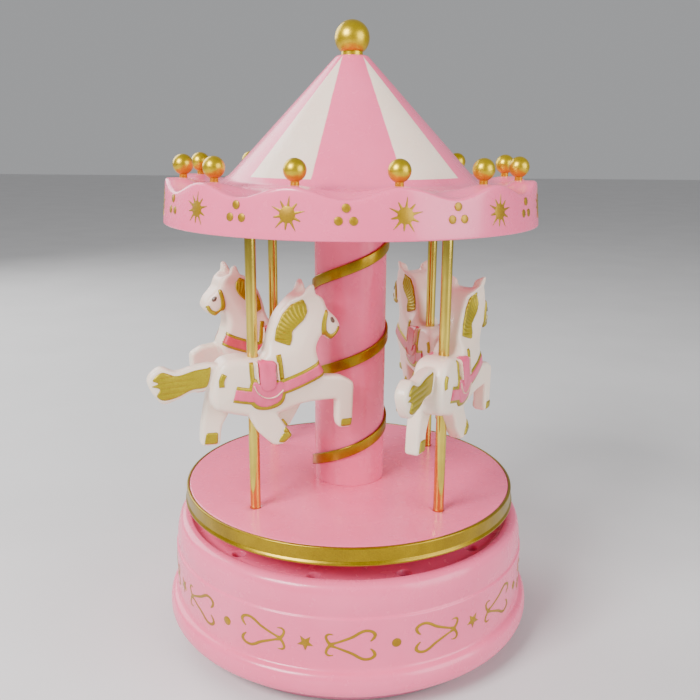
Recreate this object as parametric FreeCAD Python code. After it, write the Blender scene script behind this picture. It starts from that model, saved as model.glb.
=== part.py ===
import FreeCAD, Part
import math
import os

# Wind-up carousel music box.
# A round base holds the music movement. A hand-turned disc under the base winds the mainspring.
# The spring barrel turns the platform, the column with its spiral band, the canopy and four horses on poles.
# Origin: centre of the face the box rests on. +Z up, -Y towards the front. Sizes in millimetres.

# ---------------------------------------------------------------- driving dimensions
# Winding disc and its feet, which the whole box stands on
foot_proud = 0.8
foot_radius = 5.0
foot_recess = 1.2
foot_ring_radius = 40.0
foot_count = 4
disc_radius = 50.5
disc_thickness = 4.4
disc_edge_round = 1.2
disc_gap = 0.4
arbor_end_recess = 0.8
nut_half_width = 3.1
nut_height = 1.4
nut_well_radius = 3.6

# Base housing
base_height = 31.0
base_wall = 2.4
base_bottom_radius = 55.4
flange_radius = 56.3
flange_height = 4.0
band_radius = 53.9
band_start = 7.4
band_end = 21.9
groove_depth = 0.5
shoulder_radius = 53.4
ridge_radius = 50.7
ridge_width = 1.6
deck_sink = 2.5
deck_thickness = 2.2
collar_radius = 8.0
collar_height = 3.6
vent_radius = 1.75
vent_ring_radius = 43.8
vent_count = 11
vent_start_angle = -101.0
boss_radius = 3.2
boss_ring_radius = 46.5
boss_count = 3
boss_start_angle = 60.0
cover_thickness = 2.0
cover_inset = 1.4
cover_screw_grip = 6.0

# Rotating platform, column and canopy
platform_gap = 4.3
platform_radius = 49.3
platform_depth = 5.1
platform_plate = 2.4
platform_wall = 1.8
trim_thickness = 0.9
trim_lip = 0.5
trim_lip_height = 1.0
column_radius = 10.6
column_wall = 1.5
spiral_pitch = 27.5
spiral_width = 3.2
spiral_depth = 0.8
spiral_start_angle = 147.0
spiral_start_height = 2.0
clear_height = 81.4
ceiling_thickness = 2.0
ceiling_rise = 2.4
spigot_height = 4.0
ceiling_post_inset = 4.0
ceiling_screw_grip = 4.5
post_count = 4
skirt_radius = 53.5
skirt_height = 12.4
skirt_taper = 1.1
skirt_wall = 2.6
roof_wall = 2.2
rim_flat_radius = 46.0
gutter_radius = 40.0
gutter_drop = 1.5
cone_foot_radius = 34.0
cone_foot_rise = 1.3
cone_slope = 1.071
cone_top_radius = 4.3
scallop_count = 12
scallop_depth = 2.9
scallop_inner_radius = 50.7
scallop_start_angle = -90.0
ball_radius = 2.85
ball_ring_radius = 47.5
ball_start_angle = -75.0
ball_lift = 0.7
ball_peg_radius = 1.1
ball_peg_depth = 1.4
finial_radius = 4.9
finial_sink = 0.3
finial_peg_radius = 1.8
finial_peg_depth = 4.0

# Poles and horses
pole_radius = 1.5
pole_ring_radius = 36.8
pole_hub_radius = 3.4
pole_hub_depth = 1.8
pole_cup_height = 4.0
pole_seat_floor = 0.8
pole_cup_roof = 1.0
horse_thickness = 9.3
leg_thickness = 4.0
tail_thickness = 3.6
ear_thickness = 2.6
horse_edge_round = 1.4
horse_pitch = 6.5
# name, pole angle about the column, heading of the nose, height of the saddle above the platform
HORSES = [
    ("front_left", -135.0, 23.0, 43.5),
    ("front_right", -45.0, 63.5, 44.5),
    ("rear_right", 45.0, 110.0, 41.0),
    ("rear_left", 135.0, 209.0, 42.5),
]

# Music movement
bedplate_thickness = 1.6
train_height = 20.0
gear_width = 1.0
tooth_share = 0.36
crown_teeth = 40
crown_module = 0.8
crown_plate = 1.2
crown_half_face = 1.6
drum_pinion_teeth = 10
drum_pinion_width = 2.0
barrel_radius = 13.0
barrel_wall = 0.8
barrel_lift = 1.6
arbor_radius = 2.0
arbor_hub_radius = 3.0
shaft_radius = 2.5
bush_wall = 1.4
drum_start = 19.6
drum_length = 17.0
drum_radius = 6.5
drum_wall = 0.9
drum_shaft_radius = 0.8
pin_radius = 0.22
pin_proud = 0.4
pin_tracks = 18
pins_per_track = 3
drum_gear_teeth = 32
governor_pinion_teeth = 8
fine_module = 0.5
worm_wheel_teeth = 20
worm_starts = 2
worm_core_radius = 1.0
worm_tip_radius = 2.0
worm_pitch_radius = 1.6
worm_thread = 0.42
worm_length = 7.5
governor_shaft_radius = 0.5
fan_radius = 4.6
fan_height = 4.0
fan_blade = 0.35
comb_thickness = 1.0
comb_tip_gap = 0.12
comb_tooth_length = 12.0
comb_base_depth = 8.0
comb_slot = 0.3
comb_screw_length = 5.0
train_gap = 0.6
worm_wheel_gap = 1.4
end_plate_gap = 1.2
mainspring_turns = 7
mainspring_thickness = 0.35
mainspring_height = 6.6
wrap_spring_wire = 0.6
wrap_spring_turns = 3

# Fasteners and fits
screw_radius = 1.1
screw_head_radius = 2.1
screw_head_height = 1.2
running_clearance = 0.05
air_gap = 0.3
glue_gap = 0.02
corner_arc = 0.3    # how far a quarter round's middle stands in from its corner, as a share of its radius

# ---------------------------------------------------------------- heights worked out from them
disc_bottom = foot_proud
disc_top = disc_bottom + disc_thickness
base_bottom = disc_top + disc_gap
base_top = base_bottom + base_height
deck_top = base_top - deck_sink
deck_bottom = deck_top - deck_thickness
cavity_radius = band_radius - base_wall
cover_bottom = base_bottom + cover_inset
cover_top = cover_bottom + cover_thickness
bedplate_top = cover_top + bedplate_thickness
platform_bottom = base_top + platform_gap
platform_top = platform_bottom + platform_depth
plate_bottom = platform_top - platform_plate
skirt_bottom = platform_top + clear_height - ceiling_rise
ceiling_bottom = skirt_bottom + ceiling_rise
ceiling_top = ceiling_bottom + ceiling_thickness
rim_top = skirt_bottom + skirt_height
gutter_z = rim_top - gutter_drop
cone_foot_z = rim_top + cone_foot_rise
cone_top_z = cone_foot_z + (cone_foot_radius - cone_top_radius) * cone_slope
hub_bore = shaft_radius + glue_gap

crown_radius = crown_module * crown_teeth / 2
drum_pinion_radius = crown_module * drum_pinion_teeth / 2
crown_underside = train_height + drum_pinion_radius + 1.25 * crown_module
crown_top = crown_underside + crown_plate
barrel_bottom = bedplate_top + barrel_lift
drum_gear_radius = fine_module * drum_gear_teeth / 2
governor_pinion_radius = fine_module * governor_pinion_teeth / 2
governor_offset = drum_gear_radius + governor_pinion_radius
worm_wheel_radius = fine_module * worm_wheel_teeth / 2
worm_offset = governor_offset + worm_wheel_radius + worm_pitch_radius
drum_end = drum_start + drum_length
drum_gear_x = drum_end + train_gap
outer_plate_x = drum_gear_x + gear_width + train_gap
worm_wheel_x = outer_plate_x + gear_width + worm_wheel_gap
end_plate_x = worm_wheel_x + gear_width + end_plate_gap
worm_x = worm_wheel_x + gear_width / 2
inner_plate_x = crown_radius + crown_half_face + air_gap

UP = FreeCAD.Vector(0, 0, 1)
ALONG_X = FreeCAD.Vector(1, 0, 0)


# ---------------------------------------------------------------- helpers
def vec(x, y, z):
    return FreeCAD.Vector(x, y, z)


def cylinder(radius, height, at=(0, 0, 0), along=UP):
    return Part.makeCylinder(radius, height, vec(*at), along)


def tube(outer, inner, height, at=(0, 0, 0), along=UP):
    return cylinder(outer, height, at, along).cut(cylinder(inner, height, at, along))


def block(low, high):
    size = [b - a for a, b in zip(low, high)]
    return Part.makeBox(size[0], size[1], size[2], vec(*low))


def polar(radius, angle, z=0.0):
    """A point at an angle in degrees about the column, from +X towards +Y."""
    turn = math.radians(angle)
    return (radius * math.cos(turn), radius * math.sin(turn), z)


def ring_of(shape, count, start=0.0):
    """The shape repeated evenly about the Z axis, as a list."""
    copies = []
    for index in range(count):
        copy = shape.copy()
        copy.rotate(vec(0, 0, 0), UP, start + index * 360.0 / count)
        copies.append(copy)
    return copies


def lathe(points):
    """A solid of revolution about Z from a closed outline of (radius, z) points.
    A point given with two more numbers is reached along an arc, and those two are the arc's middle."""
    edges = []
    for start, end in zip(points, points[1:] + points[:1]):
        first = vec(start[0], 0, start[1])
        last = vec(end[0], 0, end[1])
        if len(end) == 4:
            edges.append(Part.Arc(first, vec(end[2], 0, end[3]), last).toShape())
        else:
            edges.append(Part.LineSegment(first, last).toShape())
    return Part.Face(Part.Wire(edges)).revolve(vec(0, 0, 0), UP, 360)


def helical_band(radius, pitch, height, width, depth):
    """A right-handed rectangular band that climbs round a cylinder, starting at +X, z 0."""
    path = Part.makeHelix(pitch, height, radius)
    corners = [(radius, -width / 2), (radius + depth, -width / 2),
               (radius + depth, width / 2), (radius, width / 2)]
    section = Part.makePolygon([vec(x, 0, z) for x, z in corners + corners[:1]])
    return Part.Wire(path.Edges).makePipeShell([section], True, True)


def screw(at, shank, along=UP):
    """A pan-head screw: its shank runs from the point along the direction, its head stands behind."""
    head = cylinder(screw_head_radius, screw_head_height, at, along * -1)
    return head.fuse(cylinder(screw_radius, shank, at, along))


def gear_face(teeth, module, addendum=0.75, dedendum=1.0):
    """A straight-sided gear outline in the XY plane, with a tooth centred on +X."""
    pitch_radius = module * teeth / 2
    tip = pitch_radius + addendum * module
    root = pitch_radius - dedendum * module
    half = math.pi / teeth * tooth_share
    corners = []
    for index in range(teeth):
        centre = 2 * math.pi * index / teeth
        for radius, angle in ((root, -1.25 * half), (tip, -0.7 * half), (tip, 0.7 * half), (root, 1.25 * half)):
            corners.append(vec(radius * math.cos(centre + angle), radius * math.sin(centre + angle), 0))
    return Part.Face(Part.makePolygon(corners + corners[:1]))


def gear_along_x(teeth, module, width, start, y, z, first_tooth, bore):
    """A spur gear on an axis along +X. first_tooth is the angle of one tooth from +Y towards +Z."""
    gear = gear_face(teeth, module).extrude(vec(0, 0, width))
    gear = gear.cut(cylinder(bore, width))
    gear.rotate(vec(0, 0, 0), UP, first_tooth)
    gear.rotate(vec(0, 0, 0), vec(1, 1, 1), 120)
    gear.translate(vec(start, y, z))
    return gear


# ---------------------------------------------------------------- winding disc (turned by hand)
def winding_disc():
    inner = disc_radius - disc_edge_round
    disc = lathe([
        (0, disc_bottom), (inner, disc_bottom),
        (disc_radius, disc_bottom + disc_edge_round, disc_radius - corner_arc * disc_edge_round,
         disc_bottom + corner_arc * disc_edge_round),
        (disc_radius, disc_top - disc_edge_round),
        (inner, disc_top, disc_radius - corner_arc * disc_edge_round, disc_top - corner_arc * disc_edge_round),
        (0, disc_top)])
    recess = cylinder(foot_radius, foot_recess, (foot_ring_radius, 0, disc_bottom))
    for pocket in ring_of(recess, foot_count):
        disc = disc.cut(pocket)
    nut_well = cylinder(nut_well_radius, disc_thickness / 2, (0, 0, disc_bottom))
    return disc.cut(nut_well).cut(cylinder(arbor_radius, disc_thickness, (0, 0, disc_bottom)))


def feet():
    foot = cylinder(foot_radius - glue_gap, foot_recess + foot_proud, (foot_ring_radius, 0, 0))
    return Part.makeCompound(ring_of(foot, foot_count))


def winding_arbor():
    bottom = disc_bottom + arbor_end_recess
    pivot_top = crown_underside - air_gap
    shaft = cylinder(arbor_radius - glue_gap, pivot_top - bottom, (0, 0, bottom))
    hub_bottom = barrel_bottom + barrel_wall + air_gap
    hub_top = crown_underside - 2 * air_gap
    collar = cylinder(arbor_hub_radius, cover_bottom - air_gap - disc_top, (0, 0, disc_top))
    return shaft.fuse(cylinder(arbor_hub_radius, hub_top - hub_bottom, (0, 0, hub_bottom))).fuse(collar)


def arbor_nut():
    start = disc_bottom + disc_thickness / 2 - nut_height
    nut = Part.Face(Part.makePolygon([vec(*polar(nut_half_width, 60 * i, start)) for i in range(7)]))
    return nut.extrude(vec(0, 0, nut_height)).cut(cylinder(arbor_radius, nut_height, (0, 0, start)))


# ---------------------------------------------------------------- base housing
def base_shell():
    b = base_bottom
    flange_z = b + flange_height
    band_low = b + band_start
    band_high = b + band_end
    shell = lathe([
        (cavity_radius, b), (base_bottom_radius, b),
        (flange_radius, flange_z, flange_radius - 0.15, b + 0.4 * flange_height),
        (base_bottom_radius - 0.2, band_low - 1.0, flange_radius - 0.25, flange_z + 1.6),
        (band_radius, band_low), (band_radius, band_high),
        (band_radius - groove_depth, band_high + 0.6, band_radius - 0.8 * groove_depth, band_high + 0.1),
        (shoulder_radius, band_high + 1.4), (shoulder_radius, band_high + 3.4),
        (ridge_radius, base_top, shoulder_radius - 0.7, base_top - 1.6),
        (ridge_radius - ridge_width, base_top),
        (ridge_radius - ridge_width - deck_sink, deck_top,
         ridge_radius - ridge_width - 0.3 * deck_sink, base_top - 0.7 * deck_sink),
        (collar_radius, deck_top), (collar_radius, deck_top + collar_height),
        (shaft_radius + bush_wall, deck_top + collar_height),
        (shaft_radius + bush_wall, deck_bottom), (cavity_radius - 1.5, deck_bottom),
        (cavity_radius, deck_bottom - 1.5)])
    boss = cylinder(boss_radius, deck_bottom - cover_top, (boss_ring_radius, 0, cover_top))
    for copy in ring_of(boss, boss_count, boss_start_angle):
        shell = shell.fuse(copy)
    shank = cylinder(screw_radius, cover_screw_grip, (boss_ring_radius, 0, cover_top))
    vent = cylinder(vent_radius, deck_thickness, (vent_ring_radius, 0, deck_bottom))
    for hole in ring_of(shank, boss_count, boss_start_angle) + ring_of(vent, vent_count, vent_start_angle):
        shell = shell.cut(hole)
    return shell


def base_cover():
    cover = tube(cavity_radius - air_gap, arbor_hub_radius + air_gap, cover_thickness, (0, 0, cover_bottom))
    through = cylinder(screw_radius, cover_thickness, (boss_ring_radius, 0, cover_bottom))
    for hole in ring_of(through, boss_count, boss_start_angle):
        cover = cover.cut(hole)
    for x, y in bedplate_screw_places():
        cover = cover.cut(cylinder(screw_radius, cover_thickness, (x, y, cover_bottom)))
    return cover


def cover_screws():
    length = cover_thickness + cover_screw_grip
    one = screw((boss_ring_radius, 0, cover_bottom), length - glue_gap)
    return Part.makeCompound(ring_of(one, boss_count, boss_start_angle))


def deck_bush():
    length = deck_thickness + collar_height
    outer = shaft_radius + bush_wall - glue_gap
    return tube(outer, shaft_radius + running_clearance, length, (0, 0, deck_bottom))


# ---------------------------------------------------------------- music movement, fixed pieces
def bedplate_screw_places():
    return [(-barrel_radius - 1.0, 12.0), (-barrel_radius - 1.0, -12.0), (30.0, 15.0)]


def bedplate():
    left = -barrel_radius - 4.0
    right = end_plate_x + 1.2
    plate = block((left, -barrel_radius - 3.0, cover_top), (right, worm_offset + 5.0, bedplate_top))
    seat_low = (drum_start + 0.8, comb_root_y() - comb_base_depth, cover_top)
    seat = block(seat_low, (drum_end - 0.6, comb_root_y() - 0.8, comb_bottom()))
    apron = block(seat_low, (drum_end - 0.6, -barrel_radius, bedplate_top))
    plate = plate.fuse(seat).fuse(apron)
    plate = plate.cut(cylinder(arbor_hub_radius + air_gap, bedplate_thickness, (0, 0, cover_top)))
    for x, y in bedplate_screw_places():
        plate = plate.cut(cylinder(screw_radius, bedplate_thickness, (x, y, cover_top)))
    for x, y in comb_screw_places():
        plate = plate.cut(cylinder(screw_radius, comb_screw_length, (x, y, comb_bottom() - comb_screw_length)))
    return plate.removeSplitter()


def bedplate_screws():
    screws = []
    for x, y in bedplate_screw_places():
        length = bedplate_thickness + cover_thickness - glue_gap
        screws.append(screw((x, y, bedplate_top), length, UP * -1))
    return Part.makeCompound(screws)


def comb_bottom():
    return train_height - comb_thickness / 2


def comb_root_y():
    return -(drum_radius + pin_proud + comb_tip_gap + comb_tooth_length)


def comb_screw_places():
    middle = comb_root_y() - comb_base_depth / 2
    return [(drum_start + 0.25 * drum_length, middle), (drum_start + 0.75 * drum_length, middle)]


def comb():
    """The steel comb: one tooth for each track of the drum, with a slot between neighbours."""
    low = comb_bottom()
    high = low + comb_thickness
    root = comb_root_y()
    tip = root + comb_tooth_length
    plate = block((drum_start, root - comb_base_depth, low), (drum_end, tip, high))
    track = drum_length / pin_tracks
    for index in range(1, pin_tracks):
        middle = drum_start + index * track
        plate = plate.cut(block((middle - comb_slot / 2, root, low), (middle + comb_slot / 2, tip, high)))
    for x, y in comb_screw_places():
        plate = plate.cut(cylinder(screw_radius, comb_thickness, (x, y, low)))
    return plate


def comb_screws():
    top = comb_bottom() + comb_thickness
    return Part.makeCompound([screw((x, y, top), comb_screw_length, UP * -1) for x, y in comb_screw_places()])


def bearing_plate(x, y_high, holes):
    """An upright plate on the bedplate. holes are (y, shaft radius) of the shafts it carries."""
    half = drum_shaft_radius + 2.4
    plate = block((x, -half, bedplate_top), (x + gear_width, y_high, train_height + half))
    for y, radius in holes:
        plate = plate.cut(cylinder(radius + running_clearance, gear_width, (x, y, train_height), ALONG_X))
    return plate


def inner_bearing():
    return bearing_plate(inner_plate_x, drum_shaft_radius + 2.4, [(0, drum_shaft_radius)])


def outer_bearing():
    holes = [(0, drum_shaft_radius), (governor_offset, governor_shaft_radius)]
    return bearing_plate(outer_plate_x, governor_offset + 2.4, holes)


def governor_bracket():
    """A folded frame round the air brake: end plate, back wall, a foot arm and a top arm."""
    back_y = worm_offset + fan_radius + 0.8
    front_y = worm_offset - 2.0
    left = worm_x - 2.0
    right = end_plate_x + gear_width
    end_plate = block((end_plate_x, governor_offset - 2.4, bedplate_top), (right, front_y + 0.5, train_height + 2.4))
    top = governor_top()
    wall = block((left, back_y, bedplate_top), (right, back_y + gear_width, top))
    foot_arm = block((left, front_y, bedplate_top), (right, back_y + gear_width, bedplate_top + gear_width))
    top_arm = block((left, front_y, top - gear_width), (right, back_y + gear_width, top))
    frame = wall.fuse(foot_arm).fuse(top_arm).fuse(end_plate)
    pivot = cylinder(governor_shaft_radius + running_clearance, top - bedplate_top, (worm_x, worm_offset, bedplate_top))
    bore = cylinder(governor_shaft_radius + running_clearance, gear_width, (end_plate_x, governor_offset, train_height),
                    ALONG_X)
    return frame.cut(pivot).cut(bore).removeSplitter()


def governor_top():
    return deck_bottom - 0.6


def wrap_spring():
    """The coil clutch that lets the arbor wind one way only."""
    radius = arbor_radius + running_clearance + wrap_spring_wire / 2 + 0.1
    rings = []
    for index in range(wrap_spring_turns):
        z = bedplate_top - bedplate_thickness / 2 + index * wrap_spring_wire * 1.02
        rings.append(Part.makeTorus(radius, wrap_spring_wire / 2, vec(0, 0, z)))
    return Part.makeCompound(rings)


# ---------------------------------------------------------------- spring barrel, turns the platform
def spring_barrel():
    height = crown_underside - barrel_bottom
    barrel = tube(barrel_radius, barrel_radius - barrel_wall, height, (0, 0, barrel_bottom))
    floor = tube(barrel_radius, arbor_radius + running_clearance, barrel_wall, (0, 0, barrel_bottom))
    return barrel.fuse(floor).removeSplitter()


def crown_gear():
    """The barrel's lid, with face teeth hanging from its rim on a gap at +X."""
    outer = crown_radius + crown_half_face
    inner = crown_radius - crown_half_face
    plate = tube(outer, hub_bore, crown_plate, (0, 0, crown_underside))
    depth = 1.85 * crown_module
    half = 180.0 / crown_teeth * tooth_share
    ring = tube(outer, inner, depth, (0, 0, crown_underside - depth))
    wedge_points = [(0, 0, 0), polar(2 * outer, -half), polar(2 * outer, half), (0, 0, 0)]
    wedge = Part.Face(Part.makePolygon([vec(*p) for p in wedge_points])).extrude(vec(0, 0, depth))
    wedge.translate(vec(0, 0, crown_underside - depth))
    tooth = ring.common(wedge)
    return plate.multiFuse(ring_of(tooth, crown_teeth, 180.0 / crown_teeth)).removeSplitter()


def mainspring():
    """A flat spiral of steel strip in half-turn arcs, from the arbor's hub to the barrel's wall."""
    inner = arbor_hub_radius + air_gap
    outer = barrel_radius - barrel_wall - mainspring_thickness - air_gap
    half_turns = 2 * mainspring_turns
    growth = (outer - inner) / half_turns

    def spiral(extra):
        """Each arc's centre steps from one side of the axis to the other, so its ends meet its neighbours'."""
        edges = []
        for index in range(half_turns):
            side = 1 if index % 2 == 0 else -1
            start = inner + growth * index + extra
            end = start + growth
            middle = (start + end) / 2
            centre = side * (start - middle)
            edges.append(Part.Arc(vec(side * start, 0, 0), vec(centre, side * middle, 0), vec(-side * end, 0, 0)))
        return [edge.toShape() for edge in edges]

    near = spiral(0.0)
    far = spiral(mainspring_thickness)
    last = 1 if half_turns % 2 == 0 else -1
    ends = [Part.LineSegment(vec(inner, 0, 0), vec(inner + mainspring_thickness, 0, 0)).toShape(),
            Part.LineSegment(vec(last * outer, 0, 0), vec(last * (outer + mainspring_thickness), 0, 0)).toShape()]
    strip = Part.Face(Part.Wire(Part.__sortEdges__(near + far + ends)))
    strip = strip.extrude(vec(0, 0, mainspring_height))
    strip.translate(vec(0, 0, barrel_bottom + barrel_wall + 2 * air_gap))
    return strip


def output_shaft():
    shaft = cylinder(shaft_radius, platform_top - crown_underside, (0, 0, crown_underside))
    flange = cylinder(shaft_radius + 2.0, 1.0, (0, 0, crown_top))
    return shaft.fuse(flange).removeSplitter()


# ---------------------------------------------------------------- platform
def platform():
    hub_bottom = deck_top + collar_height + 0.4
    shell = lathe([
        (hub_bore, hub_bottom), (collar_radius, hub_bottom), (collar_radius, plate_bottom),
        (platform_radius - platform_wall, plate_bottom), (platform_radius - platform_wall, platform_bottom),
        (platform_radius, platform_bottom), (platform_radius, platform_top),
        (column_inner() - glue_gap, platform_top), (column_inner() - glue_gap, platform_top + spigot_height),
        (column_inner() - column_wall, platform_top + spigot_height), (column_inner() - column_wall, platform_top),
        (hub_bore, platform_top)])
    for name, angle, heading, lift in HORSES:
        x, y, z = polar(pole_ring_radius, angle, plate_bottom - pole_hub_depth)
        shell = shell.fuse(cylinder(pole_hub_radius, pole_hub_depth, (x, y, z)))
        bore_height = platform_plate + pole_hub_depth - pole_seat_floor
        shell = shell.cut(cylinder(pole_radius + running_clearance, bore_height, (x, y, z + pole_seat_floor)))
    return shell


def column_inner():
    return column_radius - column_wall


def platform_trim():
    """The bright band round the platform's edge, with a small lip along its lower side."""
    inner = platform_radius + glue_gap
    outer = platform_radius + trim_thickness
    lip = outer + trim_lip
    return lathe([
        (inner, platform_bottom), (lip - 0.2, platform_bottom),
        (outer, platform_bottom + trim_lip_height, lip, platform_bottom + trim_lip_height / 2),
        (outer, platform_top - 0.4), (outer - 0.4, platform_top), (inner, platform_top)])


def column():
    return tube(column_radius, column_inner(), ceiling_bottom - platform_top, (0, 0, platform_top))


def column_spiral():
    height = ceiling_bottom - platform_top - 2 * spiral_start_height
    band = helical_band(column_radius + glue_gap, spiral_pitch, height, spiral_width, spiral_depth)
    band.rotate(vec(0, 0, 0), UP, spiral_start_angle)
    band.translate(vec(0, 0, platform_top + spiral_start_height))
    return band


# ---------------------------------------------------------------- canopy
def canopy_ceiling():
    """The disc that closes the canopy from below and holds the column and the pole tops."""
    radius = skirt_radius - skirt_wall - air_gap
    disc = cylinder(radius, ceiling_thickness, (0, 0, ceiling_bottom))
    spigot = tube(column_inner() - glue_gap, column_inner() - column_wall, spigot_height,
                  (0, 0, ceiling_bottom - spigot_height))
    disc = disc.fuse(spigot)
    for name, angle, heading, lift in HORSES:
        x, y, z = polar(pole_ring_radius, angle, ceiling_top)
        disc = disc.fuse(cylinder(pole_hub_radius, pole_cup_height, (x, y, z)))
        bore = ceiling_thickness + pole_cup_height - pole_cup_roof
        disc = disc.cut(cylinder(pole_radius + running_clearance, bore, (x, y, ceiling_bottom)))
    through = cylinder(screw_radius, ceiling_thickness, (ceiling_post_ring(), 0, ceiling_bottom))
    for hole in ring_of(through, post_count):
        disc = disc.cut(hole)
    return disc


def ceiling_post_ring():
    return cone_foot_radius - ceiling_post_inset


def canopy():
    """The moulded canopy: flared skirt with a scalloped rim, a shallow gutter and a tall cone."""
    top_radius = skirt_radius - skirt_taper
    wall = roof_wall
    inner_skirt = skirt_radius - skirt_wall
    cone_wall = wall * math.hypot(1, cone_slope)
    shell = lathe([
        (inner_skirt, skirt_bottom), (skirt_radius, skirt_bottom),
        (top_radius, rim_top - 1.0), (top_radius - 1.0, rim_top, top_radius - 0.3, rim_top - 0.3),
        (rim_flat_radius, rim_top), (gutter_radius, gutter_z, gutter_radius + 3.5, gutter_z + 0.35),
        (cone_foot_radius, cone_foot_z, gutter_radius - 3.4, gutter_z + 0.75),
        (cone_top_radius, cone_top_z), (0, cone_top_z), (0, cone_top_z - cone_wall - 2.0),
        (cone_top_radius - 1.0, cone_top_z - cone_wall - 2.0),
        (cone_foot_radius - 1.0, cone_foot_z - cone_wall + cone_slope), (gutter_radius, gutter_z - wall),
        (inner_skirt - 2.0, rim_top - wall - 0.6), (inner_skirt, rim_top - wall - 2.6)])
    chord = math.pi * skirt_radius / scallop_count
    scallop_radius = (chord ** 2 + scallop_depth ** 2) / (2 * scallop_depth)
    scallop = cylinder(scallop_radius, skirt_radius, (scallop_inner_radius, 0, rim_top - scallop_depth + scallop_radius),
                       ALONG_X)
    for cutter in ring_of(scallop, scallop_count, scallop_start_angle):
        shell = shell.cut(cutter)
    post_height = cone_foot_z - ceiling_top
    post = cylinder(boss_radius, post_height, (ceiling_post_ring(), 0, ceiling_top))
    hole = cylinder(screw_radius, ceiling_screw_grip + 0.5, (ceiling_post_ring(), 0, ceiling_top))
    shell = shell.multiFuse(ring_of(post, post_count))
    for cutter in ring_of(hole, post_count):
        shell = shell.cut(cutter)
    peg_hole = cylinder(ball_peg_radius, ball_peg_depth, (ball_ring_radius, 0, rim_top - ball_peg_depth))
    for cutter in ring_of(peg_hole, scallop_count, ball_start_angle):
        shell = shell.cut(cutter)
    finial_hole = cylinder(finial_peg_radius, finial_peg_depth, (0, 0, cone_top_z - finial_peg_depth))
    return shell.cut(finial_hole)


def ceiling_screws():
    one = screw((ceiling_post_ring(), 0, ceiling_bottom), ceiling_thickness + ceiling_screw_grip)
    return Part.makeCompound(ring_of(one, post_count))


def rim_balls():
    lift = ball_radius + ball_lift
    centre = (ball_ring_radius, 0, rim_top + lift)
    ball = Part.makeSphere(ball_radius, vec(*centre))
    peg_top = rim_top + lift
    peg = cylinder(ball_peg_radius - glue_gap, peg_top - rim_top + ball_peg_depth - 0.1,
                   (ball_ring_radius, 0, rim_top - ball_peg_depth + 0.1))
    return Part.makeCompound(ring_of(ball.fuse(peg), scallop_count, ball_start_angle))


def finial():
    centre_z = cone_top_z + finial_radius - finial_sink
    ball = Part.makeSphere(finial_radius, vec(0, 0, centre_z))
    ball = ball.cut(cylinder(finial_radius, finial_radius, (0, 0, cone_top_z - finial_radius)))
    peg = cylinder(finial_peg_radius - glue_gap, finial_peg_depth + finial_radius - 0.1,
                   (0, 0, cone_top_z - finial_peg_depth + 0.1))
    return ball.fuse(peg)


# ---------------------------------------------------------------- drum, turned by the crown gear
def pin_places():
    """Where each pin stands: its distance along the drum and its angle round it."""
    places = []
    track = drum_length / pin_tracks
    for index in range(pin_tracks * pins_per_track):
        row = index % pin_tracks
        angle = (index * 137.508 + 23.0) % 360.0
        places.append((drum_start + (row + 0.5) * track, angle))
    return places


def drum_pin(x, angle, start_radius, length, radius):
    turn = math.radians(angle)
    outward = vec(0, math.cos(turn), math.sin(turn))
    base = (x, start_radius * outward.y, train_height + start_radius * outward.z)
    return cylinder(radius, length, base, outward)


def drum():
    at = (drum_start, 0, train_height)
    shell = tube(drum_radius, drum_radius - drum_wall, drum_length, at, ALONG_X)
    end_cap = tube(drum_radius, drum_shaft_radius + glue_gap, drum_wall, at, ALONG_X)
    far_cap = end_cap.translated(vec(drum_length - drum_wall, 0, 0))
    shell = shell.fuse(end_cap).fuse(far_cap).removeSplitter()
    holes = [drum_pin(x, a, drum_radius - drum_wall / 2, drum_wall, pin_radius) for x, a in pin_places()]
    return shell.cut(Part.makeCompound(holes))


def drum_pins():
    start = drum_radius - drum_wall / 2 + glue_gap
    length = drum_wall / 2 - glue_gap + pin_proud
    return Part.makeCompound([drum_pin(x, a, start, length, pin_radius - glue_gap) for x, a in pin_places()])


def drum_shaft():
    start = crown_radius - drum_pinion_width / 2 - 0.2
    length = outer_plate_x + gear_width + 0.4 - start
    return cylinder(drum_shaft_radius, length, (start, 0, train_height), ALONG_X)


def drum_pinion():
    start = crown_radius - drum_pinion_width / 2
    return gear_along_x(drum_pinion_teeth, crown_module, drum_pinion_width, start, 0, train_height, 90.0,
                        drum_shaft_radius + glue_gap)


def drum_gear():
    gap_forward = 180.0 / drum_gear_teeth
    return gear_along_x(drum_gear_teeth, fine_module, gear_width, drum_gear_x, 0, train_height, gap_forward,
                        drum_shaft_radius + glue_gap)


# ---------------------------------------------------------------- governor
def governor_shaft():
    start = drum_gear_x - 0.3
    length = end_plate_x + gear_width + 0.2 - start
    return cylinder(governor_shaft_radius, length, (start, governor_offset, train_height), ALONG_X)


def governor_pinion():
    return gear_along_x(governor_pinion_teeth, fine_module, gear_width, drum_gear_x, governor_offset,
                        train_height, 180.0, governor_shaft_radius + glue_gap)


def worm_wheel():
    return gear_along_x(worm_wheel_teeth, fine_module, gear_width, worm_wheel_x, governor_offset,
                        train_height, 0.0, governor_shaft_radius + glue_gap)


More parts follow.
